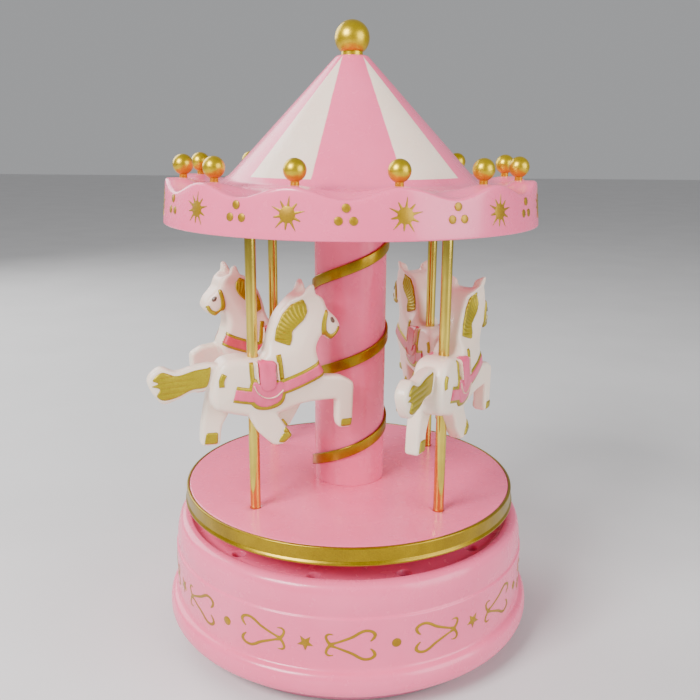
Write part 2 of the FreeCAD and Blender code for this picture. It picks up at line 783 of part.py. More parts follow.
def worm_shaft():
    """The air brake's upright shaft with its two-start worm. A thread gap faces the wheel."""
    bottom = bedplate_top + 0.2
    top = governor_top() - 0.2
    shaft = cylinder(governor_shaft_radius, top - bottom, (worm_x, worm_offset, bottom))
    low = train_height - worm_length / 2
    core = cylinder(worm_core_radius, worm_length, (worm_x, worm_offset, low))
    worm = shaft.fuse(core)
    axial_pitch = math.pi * fine_module
    lead = worm_starts * axial_pitch
    height = worm_length - worm_thread
    for start in range(worm_starts):
        thread = helical_band(worm_core_radius - 0.2, lead, height, worm_thread,
                              worm_tip_radius - worm_core_radius + 0.2)
        climbed = (height / 2 / lead) % 1.0
        angle = 270.0 - 360.0 * climbed + 180.0 / worm_starts + start * 360.0 / worm_starts
        thread.rotate(vec(0, 0, 0), UP, angle)
        thread.translate(vec(worm_x, worm_offset, train_height - height / 2))
        worm = worm.fuse(thread)
    return worm


def air_brake():
    """Two light blades on a small hub, which hold the speed down."""
    low = governor_top() - gear_width - 0.5 - fan_height
    hub = cylinder(governor_shaft_radius + 0.5, fan_height, (worm_x, worm_offset, low))
    blades = block((worm_x - fan_radius, worm_offset - fan_blade / 2, low),
                   (worm_x + fan_radius, worm_offset + fan_blade / 2, low + fan_height))
    bore = cylinder(governor_shaft_radius + glue_gap, fan_height, (worm_x, worm_offset, low))
    return hub.fuse(blades).cut(bore)


# ---------------------------------------------------------------- poles and horses
def pole(angle):
    bottom = plate_bottom - pole_hub_depth + pole_seat_floor
    top = ceiling_top + pole_cup_height - pole_cup_roof - 0.2
    return cylinder(pole_radius, top - bottom, polar(pole_ring_radius, angle, bottom))


def side_outline(points, curved):
    """A closed outline in the horse's side view, x forward and z up, on the plane y = 0."""
    places = [vec(x, 0, z) for x, z in points]
    if not curved:
        return Part.Face(Part.makePolygon(places + places[:1]))
    curve = Part.BSplineCurve()
    curve.interpolate(places, PeriodicFlag=True)
    return Part.Face(Part.Wire([curve.toShape()]))


def slab(points, low_y, high_y, curved=False):
    face = side_outline(points, curved)
    face.translate(vec(0, low_y, 0))
    return face.extrude(vec(0, high_y - low_y, 0))


def horse_body():
    """Barrel, neck and head in one flat shape with rounded edges. The saddle's seat is at z 0."""
    outline = [
        (-10.5, -1.8), (-5.0, 0.3), (0.5, 0.1), (3.4, 2.0), (4.6, 7.5), (6.2, 13.5), (9.8, 18.2),
        (14.5, 20.2), (19.0, 19.4), (21.6, 16.0), (24.4, 12.4), (24.6, 9.0), (21.8, 7.2), (18.9, 8.4),
        (17.4, 4.4), (18.2, 0.0), (20.2, -4.2), (16.0, -10.2), (8.5, -14.2), (2.5, -15.8),
        (-5.0, -14.8), (-11.5, -13.2), (-13.6, -7.5)]
    half = horse_thickness / 2
    body = slab(outline, -half, half, curved=True)
    rims = [edge for edge in body.Edges if edge.Closed]
    return body.makeFillet(horse_edge_round, rims)


def horse_legs():
    """Raised foreleg and forward hind leg on the right, tucked foreleg and rear hind leg on the left."""
    half = horse_thickness / 2
    right = (-half, -half + leg_thickness)
    left = (half - leg_thickness, half)
    raised = [(15.0, -3.2), (25.2, -3.2), (29.0, -4.8), (29.9, -16.4), (29.6, -18.2), (25.9, -18.4),
              (25.2, -16.4), (24.4, -9.8), (17.0, -10.6), (11.0, -12.0)]
    forward_hind = [(-2.0, -13.0), (6.5, -13.0), (9.6, -17.2), (12.6, -20.4), (10.2, -23.0), (7.2, -23.4),
                    (2.4, -19.6)]
    tucked = [(11.0, -10.0), (17.0, -8.4), (15.6, -13.4), (12.8, -19.6), (9.2, -20.0), (8.6, -16.8)]
    rear_hind = [(-13.4, -6.5), (-5.0, -12.0), (-8.6, -19.2), (-8.4, -22.8), (-13.2, -23.2), (-14.8, -19.0),
                 (-14.4, -12.6)]
    ear = [(11.4, 18.0), (16.8, 18.4), (13.8, 22.2)]
    parts = [slab(raised, *right), slab(forward_hind, *right), slab(tucked, *left), slab(rear_hind, *left)]
    parts += [slab(ear, -half + 0.1, -half + ear_thickness), slab(ear, half - ear_thickness, half - 0.1)]
    return parts


def horse_tail():
    outline = [(-8.0, -3.0), (-12.0, -1.8), (-16.4, -2.4), (-20.8, -3.8), (-25.0, -2.8), (-28.0, -6.4),
               (-24.2, -12.2), (-20.2, -11.2), (-16.6, -9.0), (-12.0, -8.0)]
    half = tail_thickness / 2
    return slab(outline, -half, half, curved=True)


def horse(angle, heading, lift):
    """A horse on its pole. The pole passes through the withers, so its bore is cut last."""
    figure = horse_body().multiFuse(horse_legs() + [horse_tail()])
    bore = cylinder(pole_radius + glue_gap, 60.0, (0, 0, -30.0))
    figure.rotate(vec(0, 0, 0), vec(0, 1, 0), horse_pitch)
    figure = figure.cut(bore)
    figure.rotate(vec(0, 0, 0), UP, heading)
    figure.translate(vec(*polar(pole_ring_radius, angle, platform_top + lift)))
    return figure


# ---------------------------------------------------------------- write every piece
pieces = {
    "winding_disc": winding_disc(),
    "feet": feet(),
    "winding_arbor": winding_arbor(),
    "arbor_nut": arbor_nut(),
    "base_shell": base_shell(),
    "base_cover": base_cover(),
    "cover_screws": cover_screws(),
    "deck_bush": deck_bush(),
    "movement_bedplate": bedplate(),
    "bedplate_screws": bedplate_screws(),
    "music_comb": comb(),
    "comb_screws": comb_screws(),
    "inner_bearing": inner_bearing(),
    "outer_bearing": outer_bearing(),
    "governor_bracket": governor_bracket(),
    "wrap_spring": wrap_spring(),
    "spring_barrel": spring_barrel(),
    "crown_gear": crown_gear(),
    "mainspring": mainspring(),
    "output_shaft": output_shaft(),
    "platform": platform(),
    "platform_trim": platform_trim(),
    "column": column(),
    "column_spiral": column_spiral(),
    "canopy_ceiling": canopy_ceiling(),
    "canopy": canopy(),
    "ceiling_screws": ceiling_screws(),
    "rim_balls": rim_balls(),
    "finial": finial(),
    "music_drum": drum(),
    "drum_pins": drum_pins(),
    "drum_shaft": drum_shaft(),
    "drum_pinion": drum_pinion(),
    "drum_gear": drum_gear(),
    "governor_shaft": governor_shaft(),
    "governor_pinion": governor_pinion(),
    "worm_wheel": worm_wheel(),
    "worm_shaft": worm_shaft(),
    "air_brake": air_brake(),
}
for name, angle, heading, lift in HORSES:
    pieces["pole_" + name] = pole(angle)
    pieces["horse_" + name] = horse(angle, heading, lift)

os.makedirs("parts", exist_ok=True)
for node, shape in pieces.items():
    shape.exportStep("parts/" + node + ".step")
    solids = len(shape.Solids)
    print(f"{node:20s} solids {solids:3d} volume {shape.Volume:10.1f} valid {shape.isValid()}")
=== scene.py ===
# %% [markdown]
# # A wind-up carousel music box
#
# This lesson builds the looks of a small pink music box around its finished working model. The working
# model already has every part at its true size and place. Here each part that shows gets a finer shape and
# a real finish. All drawing is done in millimetres, because that is how a maker thinks of an object this
# small, and is turned into metres only when a mesh is made.

# %% Load the working model
import bpy
import bmesh
import math
import numpy as np
from mathutils import Matrix, Vector
from mathutils.bvhtree import BVHTree


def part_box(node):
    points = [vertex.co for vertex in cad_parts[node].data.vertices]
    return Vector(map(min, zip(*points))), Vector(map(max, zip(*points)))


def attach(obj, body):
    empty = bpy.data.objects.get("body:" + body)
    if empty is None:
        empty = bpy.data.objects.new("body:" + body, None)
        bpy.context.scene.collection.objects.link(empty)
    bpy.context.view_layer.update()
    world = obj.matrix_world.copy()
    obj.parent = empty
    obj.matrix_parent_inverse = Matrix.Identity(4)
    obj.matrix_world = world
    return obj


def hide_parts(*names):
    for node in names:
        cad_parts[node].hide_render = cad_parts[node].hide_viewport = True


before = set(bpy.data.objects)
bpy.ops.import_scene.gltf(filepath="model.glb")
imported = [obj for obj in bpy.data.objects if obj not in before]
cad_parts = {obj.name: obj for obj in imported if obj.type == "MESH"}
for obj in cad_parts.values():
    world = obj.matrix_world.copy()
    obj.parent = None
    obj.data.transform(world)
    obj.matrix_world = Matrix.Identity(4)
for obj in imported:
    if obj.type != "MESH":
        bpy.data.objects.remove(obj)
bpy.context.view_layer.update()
MM = 0.001
print("working model:", len(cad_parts), "nodes")


# %% [markdown]
# ## Helpers for turned shapes
#
# Most of the box is round, so most of it can be drawn as a half outline and spun about the upright axis, as
# on a lathe. A moulded part has no knife edges, so each corner of the outline carries its own rounding. The
# rounding is a short curve between two points beside the corner, which is easier to control than a bevel
# after the fact.

# %% Round the corners of an outline
def rounded(corners, closed=False, steps=5):
    """corners are (across, up, rounding). Returns the outline with a small curve at each rounded corner."""
    points = []
    for index, (across, up, rounding) in enumerate(corners):
        here = Vector((across, up))
        at_end = not closed and index in (0, len(corners) - 1)
        if rounding == 0 or at_end:
            points.append(here)
            continue
        before = Vector(corners[index - 1][:2])
        after = Vector(corners[(index + 1) % len(corners)][:2])
        start = here + (before - here).normalized() * min(rounding, 0.48 * (before - here).length)
        end = here + (after - here).normalized() * min(rounding, 0.48 * (after - here).length)
        for step in range(steps + 1):
            t = step / steps
            points.append(start * (1 - t) ** 2 + here * 2 * t * (1 - t) + end * t ** 2)
    return points


def divided(points, longest, closed=False):
    """Adds points on long straight runs, so that a later bend has something to move."""
    result = []
    pairs = zip(points, points[1:] + points[:1]) if closed else zip(points, points[1:])
    for start, end in pairs:
        parts = max(1, math.ceil((end - start).length / longest))
        result += [start.lerp(end, part / parts) for part in range(parts)]
    return result if closed else result + [points[-1]]


# %% Make an object from a mesh, in metres
def show(name, bm, crease_angle=38):
    """Turns a bmesh drawn in millimetres into a smooth-shaded object in metres, with its faces outwards."""
    bmesh.ops.recalc_face_normals(bm, faces=bm.faces)
    bmesh.ops.scale(bm, vec=(MM, MM, MM), verts=bm.verts)
    mesh = bpy.data.meshes.new(name)
    bm.to_mesh(mesh)
    bm.free()
    piece = bpy.data.objects.new(name, mesh)
    bpy.context.scene.collection.objects.link(piece)
    smooth(piece, crease_angle)
    return piece


def smooth(piece, crease_angle=38):
    """Smooth shading, except across edges sharper than the angle."""
    piece.data.polygons.foreach_set("use_smooth", [True] * len(piece.data.polygons))
    piece.data.set_sharp_from_angle(angle=math.radians(crease_angle))


def report(piece):
    """Prints how many triangles a piece has."""
    piece.data.calc_loop_triangles()
    print(f"{piece.name}: {len(piece.data.loop_triangles)} triangles")


# %% Spin an outline about the upright axis
def spun(outline, segments, closed, wave=None, into=None):
    """Spins (across, up) points. A point on the axis becomes a pole. wave(r, z, angle) gives the height."""
    bm = into or bmesh.new()
    rings = []
    for point in outline:
        radius, z = point
        if radius < 1e-6:
            rings.append([bm.verts.new((0, 0, z))])
            continue
        ring = []
        for index in range(segments):
            angle = 2 * math.pi * index / segments
            height = wave(radius, z, angle) if wave else z
            ring.append(bm.verts.new((radius * math.cos(angle), radius * math.sin(angle), height)))
        rings.append(ring)
    pairs = list(zip(rings, rings[1:]))
    if closed:
        pairs.append((rings[-1], rings[0]))
    for lower, upper in pairs:
        for index in range(segments):
            after = (index + 1) % segments
            corners = [lower[index % len(lower)], lower[after % len(lower)],
                       upper[after % len(upper)], upper[index % len(upper)]]
            unique = list(dict.fromkeys(corners))
            if len(unique) > 2:
                bm.faces.new(unique)
    return bm


def about_front(angle):
    """An angle in degrees counted from the front of the box becomes an angle in radians from +X."""
    return math.radians(angle - 90)


# %% [markdown]
# ## Finishes
#
# Every finish is a small network of nodes. The colour never stays flat: moulded plastic clouds a little
# where it cooled last, paint pools and thins, and metal carries the lines of its drawing or brushing. Each
# network reads the object's own coordinates, so the pattern stays put when the carousel turns.

# %% Building blocks for finishes
class Finish:
    """One material and the few node chains that all the finishes here are made of."""

    def __init__(self, name, roughness, metallic=0.0, coat=0.0, sheen_through=0.0):
        self.material = bpy.data.materials.new(name)
        self.material.use_nodes = True
        self.nodes = self.material.node_tree.nodes
        self.links = self.material.node_tree.links
        self.shader = self.nodes["Principled BSDF"]
        self.shader.inputs["Roughness"].default_value = roughness
        self.shader.inputs["Metallic"].default_value = metallic
        self.shader.inputs["Coat Weight"].default_value = coat
        self.shader.inputs["Coat Roughness"].default_value = 0.06
        self.shader.inputs["Subsurface Weight"].default_value = sheen_through
        self.shader.inputs["Subsurface Scale"].default_value = 0.004
        self.place = self.nodes.new("ShaderNodeTexCoord").outputs["Object"]

    def math(self, operation, first, second=None, third=None):
        """A Math node. A number goes on the socket, and anything else is linked."""
        node = self.nodes.new("ShaderNodeMath")
        node.operation = operation
        for socket, value in zip(node.inputs, (first, second, third)):
            if value is None:
                continue
            if isinstance(value, (int, float)):
                socket.default_value = value
            else:
                self.links.new(value, socket)
        return node.outputs[0]

    def cloud(self, grain_mm, detail=3.0, stretch=(1, 1, 1)):
        """Noise with a grain of about that many millimetres, pulled out along an axis by stretch under 1."""
        mapping = self.nodes.new("ShaderNodeMapping")
        mapping.inputs["Scale"].default_value = stretch
        self.links.new(self.place, mapping.inputs["Vector"])
        noise = self.nodes.new("ShaderNodeTexNoise")
        noise.inputs["Scale"].default_value = 1000 / grain_mm
        noise.inputs["Detail"].default_value = detail
        self.links.new(mapping.outputs["Vector"], noise.inputs["Vector"])
        return noise.outputs["Fac"]

    def ramp(self, factor, stops):
        """Colours along a factor. stops are (position, colour)."""
        node = self.nodes.new("ShaderNodeValToRGB")
        ends = node.color_ramp.elements
        for index, (position, colour) in enumerate(stops):
            stop = ends[index] if index < 2 else ends.new(position)
            stop.position = position
            stop.color = (*colour, 1)
        self.links.new(factor, node.inputs["Fac"])
        return node.outputs["Color"]

    def mix(self, factor, first, second):
        """Blends two colours by a factor."""
        node = self.nodes.new("ShaderNodeMix")
        node.data_type = "RGBA"
        self.links.new(factor, node.inputs["Factor"])
        for socket, colour in ((node.inputs[6], first), (node.inputs[7], second)):
            if isinstance(colour, tuple):
                socket.default_value = (*colour, 1)
            else:
                self.links.new(colour, socket)
        return node.outputs[2]

    def colour(self, source):
        self.links.new(source, self.shader.inputs["Base Color"])

    def roughness(self, factor, low, high):
        """Lets the roughness wander between two values."""
        span = self.math("MULTIPLY_ADD", factor, high - low, low)
        self.links.new(span, self.shader.inputs["Roughness"])

    def relief(self, factor, depth_mm, strength=1.0):
        """A fine surface texture. It follows after any relief that is already there."""
        bump = self.nodes.new("ShaderNodeBump")
        bump.inputs["Distance"].default_value = depth_mm * MM
        bump.inputs["Strength"].default_value = strength
        self.links.new(factor, bump.inputs["Height"])
        if self.shader.inputs["Normal"].links:
            self.links.new(self.shader.inputs["Normal"].links[0].from_socket, bump.inputs["Normal"])
        self.links.new(bump.outputs["Normal"], self.shader.inputs["Normal"])


# %% [markdown]
# ### Plastics
#
# The case is glossy injection-moulded plastic. Three things make it read as that: a broad, faint clouding
# of the colour, the very shallow ripple that a mould's polish leaves, and hairline scuffs that only show in
# a highlight.

# %% Moulded plastics
def moulded_plastic(name, pale, deep, roughness=0.24, glow=0.12):
    finish = Finish(name, roughness, coat=0.15, sheen_through=glow)
    finish.shader.inputs["Subsurface Radius"].default_value = (1.0, 0.45, 0.5)
    clouding = finish.cloud(26, 4)
    finish.colour(finish.ramp(clouding, [(0.3, deep), (0.72, pale)]))
    finish.roughness(finish.cloud(3.5, 5), roughness - 0.05, roughness + 0.09)
    finish.relief(finish.cloud(5.0, 2), 0.05, 0.25)
    finish.relief(finish.cloud(0.5, 6, (1, 1, 0.12)), 0.006, 0.35)
    return finish


pink_pale = (0.96, 0.165, 0.315)
pink_deep = (0.90, 0.125, 0.265)
cream_pale = (0.97, 0.80, 0.67)
cream_deep = (0.93, 0.71, 0.57)
pink_plastic = moulded_plastic("pink_moulded_plastic", pink_pale, pink_deep).material
# This darker pink is painted shade: the ring under the base's flared foot lies in shadow, and its pink is
# darkened here to match that shadow.
pink_painted_shade_finish = moulded_plastic("deep_pink_moulded_plastic", (0.60, 0.14, 0.26), (0.52, 0.10, 0.20), 0.34)
deep_pink_plastic = pink_painted_shade_finish.material
ivory_finish = moulded_plastic("ivory_horse_plastic", (0.89, 0.75, 0.62), (0.83, 0.66, 0.53), 0.36, 0.2)
ivory_plastic = ivory_finish.material
print("plastics ready")


# %% [markdown]
# ### The striped roof
#
# The cone is pink with five cream wedges, sprayed through a mask: each wedge comes to a point just under
# the tip and widens in a straight line to the foot. So the edge is worked out in millimetres on the
# surface, as half the wedge's width at that radius less the distance from its middle line, and the paint's
# edge is softened over a fixed width.

# %% The roof's paint
stripe_count = 5
stripe_middle = about_front(-32.1)
stripe_tip_radius = 4.9
stripe_foot_radius = 34.0
stripe_foot_half_width = 9.7
stripe_foot_height = 137.5
paint_edge = 0.28


def roof_paint():
    finish = moulded_plastic("pink_roof_with_cream_stripes", pink_pale, pink_deep)
    split = finish.nodes.new("ShaderNodeSeparateXYZ")
    finish.links.new(finish.place, split.inputs["Vector"])
    x, y, z = split.outputs
    squares = finish.math("ADD", finish.math("MULTIPLY", x, x), finish.math("MULTIPLY", y, y))
    across = finish.math("SQRT", squares)
    radius = finish.math("MULTIPLY", across, 1000)
    turn = finish.math("SUBTRACT", finish.math("ARCTAN2", y, x), stripe_middle)
    steps = finish.math("DIVIDE", turn, 2 * math.pi / stripe_count)
    sector = finish.math("FRACT", finish.math("ADD", steps, 10.5))
    off_middle = finish.math("MULTIPLY", finish.math("ABSOLUTE", finish.math("SUBTRACT", sector, 0.5)),
                             2 * math.pi / stripe_count)
    distance = finish.math("MULTIPLY", off_middle, radius)
    widening = stripe_foot_half_width / (stripe_foot_radius - stripe_tip_radius)
    half_width = finish.math("MULTIPLY", finish.math("SUBTRACT", radius, stripe_tip_radius), widening)
    wobble = finish.math("MULTIPLY_ADD", finish.cloud(2.2, 3), 0.3, -0.15)
    inside = finish.math("ADD", finish.math("SUBTRACT", half_width, distance), wobble)
    edge = finish.math("ADD", finish.math("DIVIDE", inside, paint_edge), 0.5)
    wedge = finish.math("MINIMUM", finish.math("MAXIMUM", edge, 0.0), 1.0)
    before_foot = finish.math("LESS_THAN", radius, stripe_foot_radius + 0.6)
    above = finish.math("GREATER_THAN", z, stripe_foot_height * MM)
    stripe = finish.math("MULTIPLY", finish.math("MULTIPLY", wedge, before_foot), above)
    cream = finish.ramp(finish.cloud(18, 4), [(0.3, cream_deep), (0.7, cream_pale)])
    pink = finish.shader.inputs["Base Color"].links[0].from_socket
    finish.colour(finish.mix(stripe, pink, cream))
    finish.relief(stripe, 0.05, 0.5)
    return finish.material


striped_roof = roof_paint()
print("roof paint ready")


# %% [markdown]
# ### Paints, foils and metals
#
# The gold trim is a bronze-powder paint: fine flakes under a thin varnish, so it has a metal's colour but a
# soft highlight. The balls are a brighter yellow gold. The poles are drawn brass tube, bright with lines
# along the tube.

# %% Gold paints
def gold_paint(name, bright, dark, metallic, roughness, flake=0.35):
    finish = Finish(name, roughness, metallic, coat=0.12)
    flakes = finish.cloud(flake, 2)
    pooled = finish.cloud(7, 4)
    sparkle = finish.math("MULTIPLY_ADD", flakes, 0.45, finish.math("MULTIPLY", pooled, 0.55))
    finish.colour(finish.ramp(sparkle, [(0.34, dark), (0.62, bright)]))
    finish.roughness(flakes, roughness - 0.06, roughness + 0.1)
    finish.relief(flakes, 0.02, 0.3)
    finish.relief(pooled, 0.05, 0.3)
    return finish.material


trim_gold = gold_paint("olive_gold_paint", (0.38, 0.25, 0.001), (0.24, 0.145, 0.001), 0.8, 0.3)
ball_gold = gold_paint("yellow_gold_paint", (0.62, 0.44, 0.001), (0.47, 0.32, 0.001), 0.8, 0.32)
foil_gold = gold_paint("print_gold", (0.42, 0.245, 0.002), (0.31, 0.165, 0.001), 0.6, 0.4)
mane_gold = gold_paint("mane_gold_paint", (0.43, 0.34, 0.002), (0.31, 0.23, 0.001), 0.6, 0.4)
print("gold paints ready")


# %% Saddle and eye paints
def saddle_paint(name, bright, dark):
    finish = Finish(name, 0.32, coat=0.3, sheen_through=0.05)
    brushed = finish.cloud(3.0, 5, (1, 1, 0.4))
    finish.colour(finish.ramp(brushed, [(0.32, dark), (0.66, bright)]))
    finish.roughness(finish.cloud(1.2, 4), 0.26, 0.4)
    finish.relief(brushed, 0.04, 0.3)
    return finish.material


pink_saddle = saddle_paint("pink_saddle_paint", (0.78, 0.09, 0.21), (0.66, 0.06, 0.15))
red_saddle = saddle_paint("red_saddle_paint", (0.62, 0.045, 0.085), (0.50, 0.03, 0.06))
cream_piping = saddle_paint("cream_piping_paint", (0.86, 0.62, 0.47), (0.78, 0.52, 0.38))
eye_brown = saddle_paint("brown_eye_paint", (0.16, 0.09, 0.05), (0.10, 0.05, 0.03))
print("paints ready")


# %% Metals, rubber and nylon
def drawn_metal(name, bright, dark, roughness, along=(1, 1, 0.02), grain=0.12):
    finish = Finish(name, roughness, metallic=1.0)
    lines = finish.cloud(grain, 4, along)
    tarnish = finish.cloud(9, 4)
    tint = finish.math("ADD", finish.math("MULTIPLY", lines, 0.4), finish.math("MULTIPLY", tarnish, 0.6))
    finish.colour(finish.ramp(tint, [(0.34, dark), (0.64, bright)]))
    finish.roughness(lines, roughness - 0.04, roughness + 0.08)
    finish.relief(lines, 0.004, 0.3)
    return finish.material


def soft_compound(name, bright, dark, roughness, grain):
    finish = Finish(name, roughness)
    speckle = finish.cloud(grain, 5)
    finish.colour(finish.ramp(speckle, [(0.35, dark), (0.65, bright)]))
    finish.roughness(finish.cloud(grain * 3, 3), roughness - 0.08, roughness + 0.06)
    finish.relief(speckle, 0.05, 0.4)
    return finish.material


pole_brass = drawn_metal("drawn_brass_tube", (0.72, 0.56, 0.09), (0.52, 0.37, 0.05), 0.12)
steel = drawn_metal("brushed_steel", (0.62, 0.62, 0.63), (0.46, 0.46, 0.48), 0.24, (0.05, 1, 1))
cast_zinc = soft_compound("cast_zinc", (0.50, 0.50, 0.51), (0.38, 0.38, 0.40), 0.42, 0.8)
cast_zinc.node_tree.nodes["Principled BSDF"].inputs["Metallic"].default_value = 1.0
movement_brass = drawn_metal("movement_brass", (0.78, 0.57, 0.20), (0.62, 0.42, 0.12), 0.22, (1, 0.06, 1))
black_rubber = soft_compound("black_rubber_feet", (0.035, 0.033, 0.034), (0.018, 0.018, 0.019), 0.72, 0.5)
white_nylon = soft_compound("white_nylon", (0.80, 0.79, 0.74), (0.70, 0.69, 0.64), 0.45, 1.5)
print("metals ready")


# %% [markdown]
# ## Node trees for what repeats
#
# Vent holes, rim balls and the printed motifs are one shape repeated evenly round the axis. One tree does
# it: it makes as many points as there are copies, all on the axis, puts the shape on each, and turns each
# copy a step further. A second tree punches such a ring of copies out of a shell.

# %% Helpers for building and applying a tree
def new_tree(name, inputs):
    tree = bpy.data.node_groups.new(name, "GeometryNodeTree")
    tree.interface.new_socket("Geometry", in_out="INPUT", socket_type="NodeSocketGeometry")
    for label, kind in inputs:
        tree.interface.new_socket(label, in_out="INPUT", socket_type="NodeSocket" + kind)
    tree.interface.new_socket("Geometry", in_out="OUTPUT", socket_type="NodeSocketGeometry")
    start = tree.nodes.new("NodeGroupInput").outputs
    end = tree.nodes.new("NodeGroupOutput").inputs
    return tree, start, end


def turned_copies(tree, shape, count, start_angle):
    """Copies of a shape, turned evenly about the upright axis. Returns the realized mesh."""
    points = tree.nodes.new("GeometryNodePoints")
    tree.links.new(count, points.inputs["Count"])
    index = tree.nodes.new("GeometryNodeInputIndex").outputs[0]
    share = tree.nodes.new("ShaderNodeMath")
    share.operation = "DIVIDE"
    tree.links.new(index, share.inputs[0])
    tree.links.new(count, share.inputs[1])
    angle = tree.nodes.new("ShaderNodeMath")
    angle.operation = "MULTIPLY_ADD"
    angle.inputs[1].default_value = 2 * math.pi
    tree.links.new(share.outputs[0], angle.inputs[0])
    tree.links.new(start_angle, angle.inputs[2])
    turn = tree.nodes.new("ShaderNodeCombineXYZ")
    tree.links.new(angle.outputs[0], turn.inputs["Z"])
    place = tree.nodes.new("GeometryNodeInstanceOnPoints")
    tree.links.new(points.outputs[0], place.inputs["Points"])
    tree.links.new(shape, place.inputs["Instance"])
    tree.links.new(turn.outputs[0], place.inputs["Rotation"])
    real = tree.nodes.new("GeometryNodeRealizeInstances")
    tree.links.new(place.outputs[0], real.inputs[0])
    return real.outputs[0]


def finish_tree(tree, geometry, start, end):
    """Every tree ends in Realize Instances and Set Material."""
    real = tree.nodes.new("GeometryNodeRealizeInstances")
    paint = tree.nodes.new("GeometryNodeSetMaterial")
    tree.links.new(geometry, real.inputs[0])
    tree.links.new(real.outputs[0], paint.inputs["Geometry"])
    tree.links.new(start["Material"], paint.inputs["Material"])
    tree.links.new(paint.outputs[0], end["Geometry"])


def grow(piece, tree, settings, crease_angle=38):
    """Runs a tree on a piece and keeps the result as its plain mesh."""
    modifier = piece.modifiers.new(tree.name, "NODES")
    modifier.node_group = tree
    for socket in tree.interface.items_tree:
        if socket.in_out == "INPUT" and socket.name in settings:
            modifier[socket.identifier] = settings[socket.name]
    bpy.context.view_layer.update()
    graph = bpy.context.evaluated_depsgraph_get()
    mesh = bpy.data.meshes.new_from_object(piece.evaluated_get(graph))
    piece.modifiers.remove(modifier)
    piece.data = mesh
    mesh.name = piece.name
    smooth(piece, crease_angle)
    report(piece)
    return piece


# %% The ring tree and the punch tree
ring_inputs = [("Count", "Int"), ("Start Angle", "Float"), ("Material", "Material")]
ring_tree, ring_in, ring_out = new_tree("ring_of_copies", ring_inputs)
copies = turned_copies(ring_tree, ring_in["Geometry"], ring_in["Count"], ring_in["Start Angle"])
finish_tree(ring_tree, copies, ring_in, ring_out)

punch_inputs = [("Punch", "Object")] + ring_inputs
punch_tree, punch_in, punch_out = new_tree("punch_ring_of_holes", punch_inputs)
punch_info = punch_tree.nodes.new("GeometryNodeObjectInfo")
punch_tree.links.new(punch_in["Punch"], punch_info.inputs["Object"])
one_punch = punch_info.outputs["Geometry"]
punches = turned_copies(punch_tree, one_punch, punch_in["Count"], punch_in["Start Angle"])
cut = punch_tree.nodes.new("GeometryNodeMeshBoolean")
cut.operation = "DIFFERENCE"
cut.solver = "EXACT"
punch_tree.links.new(punch_in["Geometry"], cut.inputs["Mesh 1"])
punch_tree.links.new(punches, cut.inputs["Mesh 2"])
finish_tree(punch_tree, cut.outputs[0], punch_in, punch_out)
print("trees:", ring_tree.name, "and", punch_tree.name)


def punch(piece, outline, at_radius, count, start_angle, material):
    """Punches a ring of round holes. outline is (radius, height), from the axis and back to it."""
    bm = spun([Vector(point) for point in outline], 40, closed=False)
    bmesh.ops.translate(bm, vec=(at_radius, 0, 0), verts=bm.verts)
    tool = show("punch", bm)
    settings = {"Punch": tool, "Count": count, "Start Angle": start_angle, "Material": material}
    grow(piece, punch_tree, settings)
    bpy.data.objects.remove(tool)
    return piece


# %% [markdown]
# ## The base housing
#
# The housing is one moulding: a flared foot, a plain band for the print, a groove, a shoulder that curves
# in to a narrow ridge, and a sunken deck with small vent holes that let the sound out. It is spun from one
# outline. The holes have softened rims on the real moulding, so the punch is wider at its mouth.

# %% Base housing
def mm_box(node):
    low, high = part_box(node)
    return [value / MM for value in low], [value / MM for value in high]


base_low = mm_box("base_shell")[0][2]
deck = base_low + 28.5
vent_ring = 43.8
vent_count = 11
vent_start_angle = math.radians(-101)
base_outline = [
    (51.5, base_low, 0.3), (55.4, base_low, 0.5), (56.3, base_low + 1.6, 1.2), (56.3, base_low + 4.4, 1.6),
    (55.6, base_low + 6.3, 1.0), (53.9, base_low + 7.0, 0.8), (53.9, base_low + 21.9, 0.35),
    (53.35, base_low + 22.3, 0.35), (53.4, base_low + 23.3, 0.3), (53.4, base_low + 26.2, 3.0),
    (52.5, base_low + 30.3, 2.2), (50.7, base_low + 31.0, 0.5), (49.1, base_low + 31.0, 0.6),
    (48.2, base_low + 29.0, 1.2), (46.4, deck, 1.0), (8.0, deck, 0.5), (8.0, deck + 3.6, 0.4),
    (3.9, deck + 3.6, 0.15), (3.9, deck - 2.2, 0.2), (51.5, deck - 2.2, 1.5)]
base_points = divided(rounded(base_outline, closed=True), 4.0, closed=True)
base_housing = show("base_housing", spun(base_points, 300, closed=True))
vent_outline = [(0, deck - 3), (1.75, deck - 3), (1.75, deck - 0.35), (1.9, deck - 0.1), (2.2, deck + 0.1),
                (2.2, deck + 1), (0, deck + 1)]
punch(base_housing, vent_outline, vent_ring, vent_count, vent_start_angle, pink_plastic)


# %% Screw bosses inside the base
boss_radius = 3.2
boss_bore = 1.1


def bosses(name, low, high, ring, count, start_angle):
    """A ring of small tubes that screws bite into."""
    outline = [(boss_bore, low, 0.2), (boss_radius, low, 0.3), (boss_radius, high, 0), (boss_bore, high, 0)]
    bm = spun(rounded(outline, closed=True, steps=3), 36, closed=True)
    bmesh.ops.translate(bm, vec=(ring, 0, 0), verts=bm.verts)
    piece = show(name, bm)
    return grow(piece, ring_tree, {"Count": count, "Start Angle": start_angle, "Material": pink_plastic})


cover_boss_ring = 46.5
base_bosses = bosses("base_bosses", base_low + 3.4, deck - 1.9, cover_boss_ring, 3, math.radians(60))
for piece in (base_housing, base_bosses):
    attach(piece, "base")
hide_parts("base_shell")


# %% [markdown]
# ## The turning platform and its gold band
#
# The platform is a shallow cap that turns over the deck. Four blind sockets take the pole ends. The gold
# band is a separate ring pressed round the platform's edge, with a small roll along its lower side.

